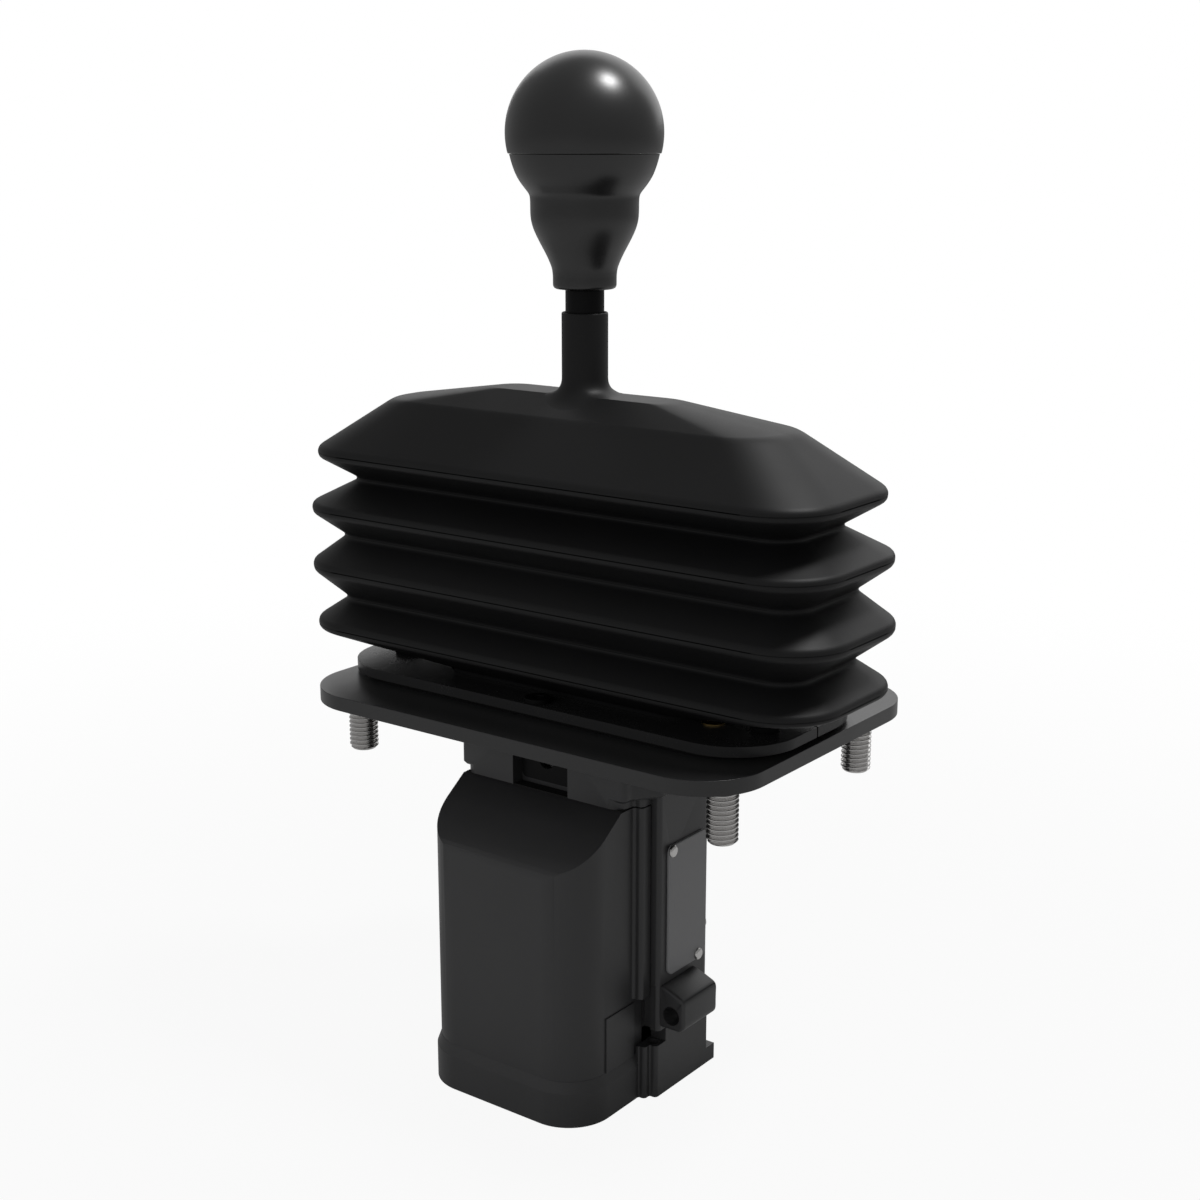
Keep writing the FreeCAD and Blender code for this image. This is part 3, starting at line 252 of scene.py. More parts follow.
def coated_steel():
    """Black powder coat on sheet steel, with its fine sparkling grain."""
    return moulded("coated_steel", tuple(colours().coated), grain=0.35 * mm, depth=0.012 * mm,
                   roughness=0.36, gloss=0.5, spread=0.10, blotch=18 * mm)


def frame_enamel():
    """Smooth glossy black on the clamp frame."""
    return moulded("frame_enamel", tuple(colours().coated), grain=0.6 * mm, depth=0.003 * mm,
                   roughness=0.26, gloss=0.20, spread=0.08, blotch=12 * mm)


def cast_coating():
    """Fine-textured coating on the die-cast housing."""
    return moulded("cast_coating", tuple(colours().casting), grain=0.45 * mm, depth=0.008 * mm,
                   roughness=0.40, gloss=0.45, spread=0.10, blotch=16 * mm)


def black_oxide():
    return moulded("black_oxide", (0.004, 0.004, 0.0042), grain=0.30 * mm, depth=0.004 * mm,
                   roughness=0.38, gloss=0.10, spread=0.15, blotch=6 * mm)


def seal_rubber():
    return moulded("seal_rubber", (0.010, 0.010, 0.010), grain=0.40 * mm, depth=0.010 * mm,
                   roughness=0.75, gloss=0.25, spread=0.15, blotch=9 * mm)


def gear_plastic():
    return moulded("gear_plastic", (0.74, 0.73, 0.68), grain=0.40 * mm, depth=0.004 * mm,
                   roughness=0.42, gloss=0.45, spread=0.05, blotch=8 * mm)


def black_moulding():
    return moulded("black_moulding", (0.030, 0.030, 0.032), grain=0.40 * mm, depth=0.006 * mm,
                   roughness=0.50, gloss=0.4, spread=0.12, blotch=6 * mm)


def terminal_plastic():
    return moulded("terminal_plastic", (0.30, 0.31, 0.32), grain=0.40 * mm, depth=0.006 * mm,
                   roughness=0.48, gloss=0.4, spread=0.06, blotch=7 * mm)


def metal(name, tone, roughness, streak, depth, spread=0.10):
    """Bare metal: streaks drawn out along one way, with a broad variation of gloss."""
    graph = Graph(name, **{"Metallic": 1.0})
    lines = graph.noise(0.25 * mm, detail=2, vector=graph.stretched(streak))
    broad = graph.noise(7 * mm, detail=3)
    dark, light = shades(tone, 1 - spread, 1 + spread * 0.5)
    line_gloss, broad_gloss = 0.10, 0.12
    return graph.surface(
        colour=graph.tones(lines * 0.5 + broad * 0.5, dark, light),
        roughness=(lines * line_gloss + broad * broad_gloss
                   + (roughness - (line_gloss + broad_gloss) / 2)),
        normal=graph.bump(lines, depth))


# How a metal's streaks lie: drawn out twenty times along an axis, or not at all
along_y, along_z, even = (1, 0.05, 1), (1, 1, 0.05), (1, 1, 1)


def bright_steel():
    return metal("bright_steel", (0.60, 0.59, 0.58), roughness=0.22, streak=even, depth=0.001 * mm)


def ground_steel():
    return metal("ground_steel", (0.60, 0.60, 0.61),
                 roughness=0.22, streak=along_y, depth=0.002 * mm)


def spring_wire():
    return metal("spring_wire", (0.40, 0.40, 0.42),
                 roughness=0.30, streak=along_z, depth=0.003 * mm)


def cast_alloy():
    return metal("cast_alloy", (0.52, 0.52, 0.54), roughness=0.45, streak=even, depth=0.008 * mm,
                 spread=0.12)


def turned_brass():
    return metal("turned_brass", (0.64, 0.45, 0.17), roughness=0.30, streak=even, depth=0.002 * mm)


def bearing_bronze():
    return metal("bearing_bronze", (0.48, 0.31, 0.16),
                 roughness=0.42, streak=even, depth=0.004 * mm)


def nickel():
    return metal("nickel", (0.50, 0.49, 0.46), roughness=0.20, streak=even, depth=0.001 * mm)


def blank_plate():
    """Grey anodised sheet, brushed along its length."""
    graph = Graph("blank_plate", **{"Specular IOR Level": 0.5})
    lines = graph.noise(0.22 * mm, detail=3, vector=graph.stretched(along_z))
    broad = graph.noise(12 * mm, detail=3)
    dark, light = shades(tuple(colours().label), 0.88, 1.12)
    return graph.surface(
        colour=graph.tones(lines * 0.6 + broad * 0.4, dark, light),
        roughness=lines * 0.12 + broad * 0.10 + 0.34, normal=graph.bump(lines, 0.003 * mm))


def board_laminate():
    """Green board: thin raised tracks in two directions under the mask."""
    graph = Graph("board_laminate", **{"Specular IOR Level": 0.5})
    tracks = graph.node("ShaderNodeTexBrick", {"offset": 0.5, "squash": 1.0}, {
        "Vector": graph.node("ShaderNodeMapping", None, {
            "Vector": graph.place(), "Rotation": (quarter_turn, 0, 0)}),
        "Color1": black, "Color2": black, "Mortar": white, "Scale": 1 / (14 * mm),
        "Mortar Size": 0.035, "Brick Width": 0.5, "Row Height": 0.18}, output="Fac")
    broad = graph.noise(6 * mm)
    return graph.surface(
        colour=graph.tones(tracks, (0.012, 0.085, 0.030), (0.030, 0.150, 0.055)),
        roughness=broad * 0.12 + 0.24, normal=graph.bump(tracks, 0.03 * mm))


def floor_paint():
    """Pale matt floor. What is seen of it turns to plain white a little way off from the object."""
    graph = Graph("floor_paint", **{"Specular IOR Level": 0.0, "Roughness": 1.0})
    broad = graph.noise(300 * mm)
    dark, light = shades(tuple(colours().floor), 0.995, 1.0)
    graph.feed(graph.shader, {"Base Color": graph.tones(broad, dark, light)})
    reach = graph.node("ShaderNodeVectorMath", {"operation": "LENGTH"}, {0: graph.place()},
                       output="Value")
    away = graph.node("ShaderNodeMapRange", {"interpolation_type": "SMOOTHSTEP"}, {
        "Value": reach, "From Min": 0.12, "From Max": 0.60, "To Min": 0.93, "To Max": 1.0})
    plain = graph.node("ShaderNodeEmission", None, {"Color": white, "Strength": white_light})
    mixed = graph.node("ShaderNodeMixShader", None, {
        0: graph.background_seen() * away, 1: Wire(graph, graph.shader.outputs[0]), 2: plain})
    graph.feed(graph.tree.nodes["Material Output"], {"Surface": mixed})
    return graph.material


def rounded_path(points, reach, steps=4, closed=False, support=0.12 * mm):
    """A polyline with rounded corners, in as many dimensions as its rows have.

    A corner P becomes (1-t)^2 A + 2t(1-t) P + t^2 B, where A and B lie reach before and after it,
    at most 0.45 of the way to the neighbours. One more point just outside each end of the curve
    keeps the flats between curves shading flat.
    """
    points = np.asarray(points, float)
    reach = np.broadcast_to(np.asarray(reach, float), len(points)).copy()
    if not closed:
        reach[[0, -1]] = 0
    back = np.roll(points, 1, axis=0) - points
    onward = np.roll(points, -1, axis=0) - points
    back_length = np.linalg.norm(back, axis=1)
    onward_length = np.linalg.norm(onward, axis=1)
    back /= back_length[:, None]
    onward /= onward_length[:, None]
    most = 0.45
    before = np.minimum(reach, most * back_length)[:, None]
    after = np.minimum(reach, most * onward_length)[:, None]
    start, end = points + back * before, points + onward * after
    t = np.linspace(0, 1, steps + 1)[None, :, None]
    curve = ((1 - t) ** 2 * start[:, None] + 2 * t * (1 - t) * points[:, None]
             + t ** 2 * end[:, None])
    extra = support * (reach > 0)[:, None]
    rows = np.concatenate([(start + back * extra)[:, None], curve, (end + onward * extra)[:, None]],
                          axis=1).reshape(-1, points.shape[1])
    same_place = 1e-7
    moved = np.linalg.norm(rows - np.roll(rows, 1, axis=0), axis=1) > same_place
    moved[0] = True
    return rows[moved]


def outline_rings(stations, arc_steps=8, long_steps=1, short_steps=1):
    """Rings of rounded rectangles, one for each station.

    A station is half length, half width, corner radius, centre x, centre y and height. Corner k is
    centre + sign * (half - radius) + radius * (cos, sin), and the straights are divided evenly.
    """
    half_x, half_y, corner, centre_x, centre_y, height = [column[:, None] for column in stations.T]
    quarter = np.linspace(0, quarter_turn, arc_steps + 1)[None]
    corners = []
    for turn, (sign_x, sign_y) in enumerate(((1, 1), (-1, 1), (-1, -1), (1, -1))):
        angle = quarter + turn * quarter_turn
        x = centre_x + sign_x * (half_x - corner) + corner * np.cos(angle)
        y = centre_y + sign_y * (half_y - corner) + corner * np.sin(angle)
        corners.append(np.stack([x, y], axis=-1))
    ring = []
    for turn in range(4):
        here, after = corners[turn], corners[(turn + 1) % 4]
        share = np.linspace(0, 1, (long_steps, short_steps)[turn % 2] + 1)[1:-1][None, :, None]
        ring += [here, here[:, -1:] + (after[:, :1] - here[:, -1:]) * share]
    flat = np.concatenate(ring, axis=1)
    level = np.broadcast_to(height, flat.shape[:2])[..., None]
    return np.concatenate([flat, level], axis=-1)


def turn_angles(steps):
    """Angles that divide a full turn evenly, as one row."""
    return np.linspace(0, full_turn, steps, endpoint=False)[None]


def turned_rings(profile, centre, steps):
    """Rings of a profile of (radius, height) rows about an upright axis: r cos a, r sin a, z."""
    angle = turn_angles(steps)
    radius, height = profile[:, :1], profile[:, 1:]
    return np.stack([centre[0] + radius * np.cos(angle), centre[1] + radius * np.sin(angle),
                     np.broadcast_to(height, (len(profile), steps))], axis=-1)


def grid_faces(rows, columns, closed_rows, first=0):
    """Quads of a grid whose columns close round; the rows close too where asked."""
    index = np.arange(rows * columns).reshape(rows, columns) + first
    lower = index if closed_rows else index[:-1]
    upper = np.roll(index, -1, axis=0) if closed_rows else index[1:]
    quads = np.stack([lower, np.roll(lower, -1, axis=1), np.roll(upper, -1, axis=1), upper],
                     axis=-1)
    return quads.reshape(-1, 4).tolist()


def piece(name, shells, material, sharp=32.0):
    """An object of one or more closed shells, each (grid of points, whether its rows close)."""
    points, faces = [], []
    for grid, closed_rows in shells:
        first = sum(len(p) for p in points)
        rows, columns = grid.shape[:2]
        faces += grid_faces(rows, columns, closed_rows, first)
        if not closed_rows:
            last = first + (rows - 1) * columns
            faces += [list(range(first, first + columns)), list(range(last, last + columns))]
        points.append(grid.reshape(-1, 3))
    mesh = bpy.data.meshes.new(name)
    mesh.from_pydata(np.concatenate(points).tolist(), [], faces)
    return finished(name, mesh, material, sharp)


def finished(name, mesh, material, sharp, flat=False):
    """Merges doubles, turns the faces outward, shades by angle and puts the object in the scene.

    Where flat is set, the triangles of each flat face are joined as well.
    """
    doubles, flat_angle = 0.002 * mm, math.radians(0.6)
    work = bmesh.new()
    work.from_mesh(mesh)
    bmesh.ops.remove_doubles(work, verts=work.verts, dist=doubles)
    if flat:
        bmesh.ops.dissolve_limit(work, angle_limit=flat_angle, verts=work.verts, edges=work.edges)
    bmesh.ops.recalc_face_normals(work, faces=work.faces)
    work.to_mesh(mesh)
    work.free()
    mesh.shade_smooth()
    mesh.set_sharp_from_angle(angle=math.radians(sharp))
    mesh.materials.clear()
    mesh.materials.append(material)
    made = bpy.data.objects.new(name, mesh)
    bpy.context.scene.collection.objects.link(made)
    return made


def vertex_places(mesh):
    """A mesh's points as rows of x, y and z."""
    places = np.empty(len(mesh.vertices) * 3)
    mesh.vertices.foreach_get("co", places)
    return places.reshape(-1, 3)


def full_corners(places):
    """Gives the clamp frame's outline four corners of one radius, and moves its straight ends.

    A point of a corner's arc is c + r * u, with u its direction from the corner's centre c. It goes
    to C + R * u, from the new centre and radius. Points of a straight end move with the end, and
    points off the outline stay where they are.
    """
    end_slack, side_slack, arc_slack = 0.05 * mm, 0.01 * mm, 0.3 * mm
    moved = places.copy()
    for side, end, old_end in ((1, frame_right_end, frame_high.x),
                               (-1, frame_left_end, frame_low.x)):
        moved[np.abs(places[:, 0] - old_end) < end_slack, 0] = end
        for front, edge_y in ((-1, frame_low.y), (1, rear_high.y)):
            old = frame_wide_corner if side != front else frame_tight_corner
            centre = np.array([old_end - side * old, edge_y - front * old])
            reach = places[:, :2] - centre
            length = np.linalg.norm(reach, axis=1)
            inside = (reach[:, 0] * side > -side_slack) & (reach[:, 1] * front > -side_slack)
            arc = inside & (np.abs(length - old) < arc_slack)
            new = np.array([end - side * frame_full_corner, edge_y - front * frame_full_corner])
            moved[arc, :2] = new + reach[arc] / length[arc, None] * frame_full_corner
    return moved


def dressed(node, name, material, edge, reshape=None):
    """A copy of a CAD node's own shape with its edges rounded, which stands for the node."""
    mesh = frame["nodes"][node].data.copy()
    mesh.name = name
    if reshape:
        mesh.vertices.foreach_set("co", reshape(vertex_places(mesh)).ravel())
    made = finished(name, mesh, material, sharp=30.0, flat=True)
    bevel = made.modifiers.new("rounded_edges", "BEVEL")
    bevel.width = edge
    bevel.segments = 3
    bevel.limit_method = "ANGLE"
    bevel.angle_limit = math.radians(40)
    bevel.use_clamp_overlap = True
    bevel.harden_normals = True
    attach(made, "base")
    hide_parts(node)


def repaint(material, *nodes):
    """Gives CAD nodes that keep their own shape a better material."""
    for node in nodes:
        mesh = frame["nodes"][node].data
        mesh.materials.clear()
        mesh.materials.append(material)


def sizes():
    return bpy.context.scene.lever_sizes


def colours():
    return bpy.context.scene.lever_colours


# Gaiter sections: half length, half width, corner radius and height, in millimetres
cap_sections = ((28.7, 5.5, 4.5, 86.1), (62.0, 13.5, 12.0, 81.0))
cap_inside = (27.0, 5.5, 4.5)
crest_sections = ((81.8, 26.3, 17.0, 66.1), (84.0, 27.1, 17.0, 50.3), (85.4, 26.1, 17.0, 33.5),
                  (83.7, 26.5, 17.0, 17.1))
valley_sections = ((72.0, 16.1, 8.0, 58.3), (75.4, 18.1, 8.0, 42.1), (75.3, 18.1, 8.0, 24.3))
crest_land, valley_land = 1.2, 0.6
stem_section, stem_rise = (40.0, 13.0, 8.0), 1.0
foot_inset, foot_corner, foot_gap = 1.2, 17.8, 0.02
rod_hole = 5.3
hole_section = (rod_hole, rod_hole, rod_hole - 0.01)
hole_round, stem_round, foot_round, inner_round = 0.05, 1.0, 0.4, 0.3


def fold_sections():
    """Crests and valleys in turn from the cap down; each is a short upright land."""
    sections = []
    for crest, valley in zip(crest_sections, valley_sections + (None,)):
        *plan, height = crest
        sections += [(*plan, height + crest_land), (*plan, height - crest_land)]
        if valley:
            *plan, height = valley
            sections += [(*plan, height + valley_land), (*plan, height - valley_land)]
    return sections


def gaiter_shell():
    """The folded wall as one closed grid of rounded rectangles.

    It goes down outside from the rod's hole to the foot, and back up inside, a wall's thickness in.
    """
    wall = sizes().wall / mm
    folds = fold_sections()
    foot_x = (frame_high.x - frame_low.x) / 2 / mm - foot_inset
    foot_y = (rear_high.y - frame_low.y) / 2 / mm - foot_inset
    foot_centre = (rear_high.y + frame_low.y) / 2 / mm
    stem_top = frame_high.z / mm + stem_rise
    foot_low = plate_high.z / mm + foot_gap
    foot_high = frame_low.z / mm - foot_gap
    cap_top = cap_sections[0][3]
    outside = [(*hole_section, cap_top)] + list(cap_sections) + folds
    outside += [(*stem_section, stem_top), (*stem_section, foot_high)]
    foot = [(foot_x, foot_y, foot_corner, foot_high), (foot_x, foot_y, foot_corner, foot_low)]
    throat = tuple(size - wall for size in stem_section)
    knee_x, knee_y, knee_corner, knee_z = cap_sections[1]
    half = wall * 0.5
    inside = [(*throat, foot_low), (*throat, stem_top)]
    inside += [(x - wall, y - wall, r - wall, z) for x, y, r, z in reversed(folds)]
    inside += [(knee_x - half, knee_y - half, knee_corner - half, knee_z - wall),
               (*cap_inside, cap_top - wall), (*hole_section, cap_top - wall)]
    lever = lever_y / mm
    shift = [lever] * len(outside) + [foot_centre] * len(foot) + [lever] * len(inside)
    rows = [(x, y, r, 0, cy, z) for (x, y, r, z), cy in zip(outside + foot + inside, shift)]
    fold, cap = sizes().fold_round / mm, sizes().cap_round / mm
    reach = [hole_round, cap, cap] + [fold] * len(folds) + [stem_round, foot_round]
    reach += [inner_round] * (len(foot) + len(inside))
    path = rounded_path(rows, reach, steps=5, closed=True, support=0.25) * mm
    return outline_rings(path, arc_steps=12, long_steps=28, short_steps=4)


def cap_height(x, y):
    """The cap's height near the rod: a flat ridge, then falling to the knee at its own slope."""
    (ridge_x, ridge_y, _, top), (knee_x, knee_y, _, knee) = cap_sections
    side = np.clip(np.abs(y) / mm - ridge_y, 0, None) * (top - knee) / (knee_y - ridge_y)
    end = np.clip(np.abs(x) / mm - ridge_x, 0, None) * (top - knee) / (knee_x - ridge_x)
    return (top - np.maximum(side, end)) * mm


def gaiter_sleeve():
    """Sleeve round the rod: its flared foot follows the cap's surface and rises into a tube.

    With t from 0 at the foot to 1 at the shoulder, the radius is tube + flare (1 - t)^2.2 and the
    height goes from the cap's to the shoulder's with t^1.8.
    """
    tube, flare, bore = 6.0 * mm, 4.4 * mm, rod_hole * mm
    lip_round, inner_low, sunk = 0.5 * mm, 84.9 * mm, 0.6 * mm
    tip = gaiter_high.z
    steps = 72
    angle = turn_angles(steps)
    t = np.linspace(0, 1, 12)[:, None]
    radius = tube + flare * (1 - t) ** 2.2
    x, y = radius * np.cos(angle), radius * np.sin(angle)
    foot = cap_height(x, y)
    shoulder = cap_sections[0][3] * mm + flare
    risen = t ** 1.8
    rising = np.stack([x, y, foot * (1 - risen) + shoulder * risen], axis=-1)
    lip = rounded_path([(tube, shoulder), (tube, tip), (bore, tip), (bore, shoulder)],
                       lip_round, steps=3)
    tube_rings = turned_rings(lip[1:], (0, 0), steps)
    under = turned_rings(np.array([(bore, inner_low), (tube * 1.1, inner_low)]), (0, 0), steps)
    buried = np.stack([x[0], y[0], foot[0] - sunk], axis=-1)[None]
    grid = np.concatenate([rising, tube_rings, under, buried])
    grid[..., 1] += lever_y
    return grid


class LEVER_OT_gaiter(bpy.types.Operator):
    """Makes the folded rubber gaiter with its cap, foot and sleeve"""
    bl_idname = "lever.gaiter"
    bl_label = "Gaiter"

    def execute(self, context):
        made = piece("gaiter", [(gaiter_shell(), True), (gaiter_sleeve(), True)],
                     gaiter_rubber(), sharp=50.0)
        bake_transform(made)
        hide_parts("bellows")
        return {"FINISHED"}


# The knob below its parting line: radius, and height over the ball's centre, in millimetres
knob_waist = ((18.52, -6.9), (17.95, -8.7), (17.20, -10.5), (16.15, -12.2), (14.98, -13.7),
              (14.20, -14.7), (13.87, -15.5), (13.79, -16.9), (13.79, -18.7), (13.74, -20.4),
              (13.50, -22.0), (13.00, -23.6), (12.35, -25.1), (11.55, -26.7), (10.70, -28.3),
              (9.85, -29.9), (9.15, -31.4), (8.62, -32.7), (8.30, -33.8), (8.17, -35.2))
collar_radius, collar_start, collar_bore, collar_round = 8.15, -36.0, 5.2, 1.5
parting_gap = 0.12


def knob_shells():
    """The ball's upper shell and the waisted lower shell, each a profile turned about the lever."""
    radius = (ball_high.x - ball_low.x) / 2
    centre = ball_high.z - radius
    parting = collar_high.z
    hidden, rim_round = 3 * mm, 0.25 * mm
    low = math.asin((parting - centre) / radius)
    angle = np.linspace(quarter_turn, low, 40)
    dome = np.stack([radius * np.cos(angle), centre + radius * np.sin(angle)], axis=-1)
    inner = dome[-1, 0] - hidden
    rim = rounded_path([dome[-2], dome[-1], (inner, parting), (inner, parting + hidden)],
                       rim_round, steps=3, support=0.02 * mm)
    dome = np.concatenate([dome[:-1], rim[1:], [(0, parting + hidden)]])
    lower = (radius - sizes().knob_step) / mm
    start = (parting - centre) / mm - parting_gap
    end = (collar_low.z - centre) / mm
    waist = [(math.sqrt(lower ** 2 - start ** 2), start), *knob_waist]
    foot = rounded_path([(collar_radius, collar_start), (collar_radius, end), (collar_bore, end)],
                        collar_round, steps=4)
    profile = np.concatenate([[(0, start)], smooth_curve(waist, 3), foot, [(0, foot[-1, 1])]])
    profile = profile * mm + np.array([0, centre])
    return [turned_rings(outline, (0, lever_y), steps=96) for outline in (dome, profile)]


def smooth_curve(points, times):
    """Corner cutting: each pass puts two points at a quarter and three quarters of every run."""
    points = np.asarray(points, float)
    for _ in range(times):
        near = points[:-1] * 0.75 + points[1:] * 0.25
        far = points[:-1] * 0.25 + points[1:] * 0.75
        middle = np.stack([near, far], axis=1).reshape(-1, points.shape[1])
        points = np.concatenate([points[:1], middle, points[-1:]])
    return points


class LEVER_OT_knob(bpy.types.Operator):
    """Makes the ball knob's upper and lower shells"""
    bl_idname = "lever.knob"
    bl_label = "Knob"

    def execute(self, context):
        upper, lower = knob_shells()
        material = knob_plastic()
        for name, rings, node in (("knob_dome", upper, "knob_cap"),
                                  ("knob_shell", lower, "knob_base")):
            made = piece(name, [(rings, False)], material, sharp=40.0)
            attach(made, "lever")
            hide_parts(node)
        return {"FINISHED"}


class LEVER_OT_rod(bpy.types.Operator):
    """Makes the lever rod with its reduced ends"""
    bl_idname = "lever.rod"
    bl_label = "Rod"

    def execute(self, context):
        low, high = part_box("lever_rod")
        radius, end_radius, edge_round = (high.x - low.x) / 2, 4.0 * mm, 0.3 * mm
        shoulder_low, shoulder_high = 6.0 * mm, collar_low.z
        profile = rounded_path([(0, low.z), (end_radius, low.z), (end_radius, shoulder_low),
                                (radius, shoulder_low), (radius, shoulder_high),
                                (end_radius, shoulder_high), (end_radius, high.z), (0, high.z)],
                               edge_round, steps=2)
        made = piece("rod", [(turned_rings(profile, (0, lever_y), steps=64), False)],
                     black_oxide())
        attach(made, "lever")
        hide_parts("lever_rod")
        return {"FINISHED"}


stud_radius, thread_depth = 4.0 * mm, 0.65 * mm


def stud_rings(x, y, low, high):
    """A thread: radius = root + depth * ridge(z / pitch - a / 2 pi), cut to a cone at the tip.

    The ridge rises from 0 to 1 over the flanks and is flat at its crest and its root.
    """
    pitch = sizes().thread_pitch
    rows_a_turn, flank, crest = 10, 4.2, 1.6
    angle = turn_angles(40)
    z = np.linspace(0, high - low, int((high - low) / pitch * rows_a_turn))[:, None]
    phase = (z / pitch - angle / full_turn) % 1.0
    ridge = np.clip(crest - np.abs(phase - 0.5) * flank, 0, 1)
    tip = stud_radius - thread_depth * 1.2
    radius = np.minimum(stud_radius - thread_depth * (1 - ridge), tip + z)
    return np.stack([x + radius * np.cos(angle), y + radius * np.sin(angle),
                     low + np.broadcast_to(z, radius.shape)], axis=-1)


class LEVER_OT_studs(bpy.types.Operator):
    """Makes the threaded mounting studs"""
    bl_idname = "lever.studs"
    bl_label = "Studs"

    def execute(self, context):
        low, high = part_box("mounting_studs")
        reach_x, reach_y = high.x - stud_radius, high.y - stud_radius
        shells = [(stud_rings(sx * reach_x, sy * reach_y, low.z, high.z), False)
                  for sx in (-1, 1) for sy in (-1, 1)]
        made = piece("studs", shells, bright_steel(), sharp=60.0)
        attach(made, "base")
        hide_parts("mounting_studs")
        return {"FINISHED"}


class LEVER_OT_flange(bpy.types.Operator):
    """Rounds and paints the flange plate, the clamp frame and its screws"""
    bl_idname = "lever.flange"
    bl_label = "Flange"

    def execute(self, context):
        coat = coated_steel()
        edge = sizes().edge
        dressed("flange_plate", "plate", coat, edge)
        enamel = frame_enamel()
        for half in ("front", "rear"):
            dressed(f"clamp_frame_{half}", f"clamp_half_{half}", enamel,
                    edge * 0.8, reshape=full_corners)
        dark = black_oxide()
        dressed("clamp_screws", "clamp_screw_set", dark, edge * 0.5)
        repaint(turned_brass(), "gate_inserts")
        repaint(dark, "housing_screws")
        return {"FINISHED"}


def finely_cut(path, length):
    """A closed polyline whose runs are divided evenly into pieces no longer than length.

    Point i of a run from P to Q that is cut in n pieces is P + (Q - P) * i / n.
    """
    run = np.roll(path, -1, axis=0) - path
    count = np.ceil(np.linalg.norm(run, axis=1) / length).astype(int)
    index = np.arange(count.sum()) - np.repeat(np.cumsum(count) - count, count)
    share = index / np.repeat(count, count)
    return np.repeat(path, count, axis=0) + np.repeat(run, count, axis=0) * share[:, None]


def lug_rings(side):
    """One side lug: its section round the hole, carried from front to back as one closed grid.

    Each section point s has a spoke u from the hole's centre c. The rows are the hole's rim
    c + r u, then s - e (1 - sin a) u at e (1 - cos a) behind the front face, and the same again
    at the back.
    """
    low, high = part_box("side_lugs")
    outer, top, floor_z = high.x, high.z, low.z
    inner = outer - 8.3 * mm
    corners = [(inner, top - 2.7 * mm), (inner + 2.0 * mm, top - 3.2 * mm),
               (inner + 4.2 * mm, top - 4.0 * mm), (outer - 0.8 * mm, top - 5.3 * mm),
               (outer, top - 6.3 * mm), (outer, floor_z + 1.4 * mm),
               (outer - 1.4 * mm, floor_z), (inner, floor_z)]
    section = rounded_path(corners, 1.0 * mm, steps=4, closed=True, support=0.2 * mm)
    section = finely_cut(section, 0.5 * mm)
    centre = np.array([inner + 4.2 * mm, floor_z + 4.25 * mm])
    spokes = section - centre
    spokes /= np.linalg.norm(spokes, axis=1)[:, None]
    edge, hole, land = 0.9 * mm, 2.6 * mm, 0.2 * mm
    a = np.linspace(0, quarter_turn, 5)
    inward = np.concatenate([[edge + land], edge * (1 - np.sin(a))])
    behind = np.concatenate([[0], edge * (1 - np.cos(a))])
    rim = (centre + spokes * hole)[None]
    round_rows = section[None] - spokes[None] * inward[:, None, None]
    places = np.concatenate([rim, round_rows, round_rows[::-1], rim])
    depth = np.concatenate([[low.y], low.y + behind, (high.y - behind)[::-1], [high.y]])
    level = np.broadcast_to(depth[:, None], places.shape[:2])
    return np.stack([side * places[..., 0], level, places[..., 1]], axis=-1)


class LEVER_OT_housing(bpy.types.Operator):
    """Makes the side lugs, and rounds and paints the casting, the front cover and the base"""
    bl_idname = "lever.housing"
    bl_label = "Housing"

    def execute(self, context):
        coat = cast_coating()
        edge = sizes().edge
        dressed("pivot_housing", "casting", coat, edge * 1.4)
        lugs = piece("lugs", [(lug_rings(side), True) for side in (1, -1)], coat,
                     sharp=40.0)
        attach(lugs, "base")
        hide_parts("side_lugs")
        dressed("front_cover", "cover", coat, edge)
        dressed("base_cap", "base", coat, edge * 1.6)
        repaint(seal_rubber(), "cover_seal", "stop_buffers")
        repaint(black_oxide(), "axle_keeper", "keeper_screws")
        return {"FINISHED"}


def rivet_rings(face_x, y, z):
    """A low rivet head on the plate's face: a rounded profile turned about an axis along X."""
    head, rise, sunk, head_round = 1.7 * mm, 0.75 * mm, 0.3 * mm, 0.35 * mm
    profile = rounded_path([(0, -sunk), (head, -sunk), (head, rise * 0.5), (head * 0.6, rise),
                            (0, rise)], head_round, steps=3, support=0.04 * mm)
    return turned_rings(profile, (0, 0), steps=32)[..., [2, 1, 0]] + np.array([face_x, y, z])


def blank_plate_rings(low, high):
    """The blank plate: rounded rectangles set along X, the outermost drawn in by its edge's arc.

    It is a little taller, narrower, lower and further forward than its solid, as in the photo.
    """
    taller, narrower, lower, forward = 0.6 * mm, 0.5 * mm, 0.15 * mm, 0.3 * mm
    half_z, half_y = (high.z - low.z) / 2 + taller, (high.y - low.y) / 2 - narrower
    centre_z, centre_y = (high.z + low.z) / 2 - lower, (high.y + low.y) / 2 - forward
    corner, edge, land = 2.0 * mm, 0.25 * mm, 0.3 * mm
    a = np.linspace(0, quarter_turn, 4)
    inward = np.concatenate([[0], edge * (1 - np.cos(a)), [edge + land]])
    level = np.concatenate([[low.x], high.x - edge * (1 - np.sin(a)), [high.x]])
    stations = np.array([(half_z - i, half_y - i, corner - i, centre_z, centre_y, x)
                         for i, x in zip(inward, level)])
    return outline_rings(stations)[..., [2, 1, 0]]


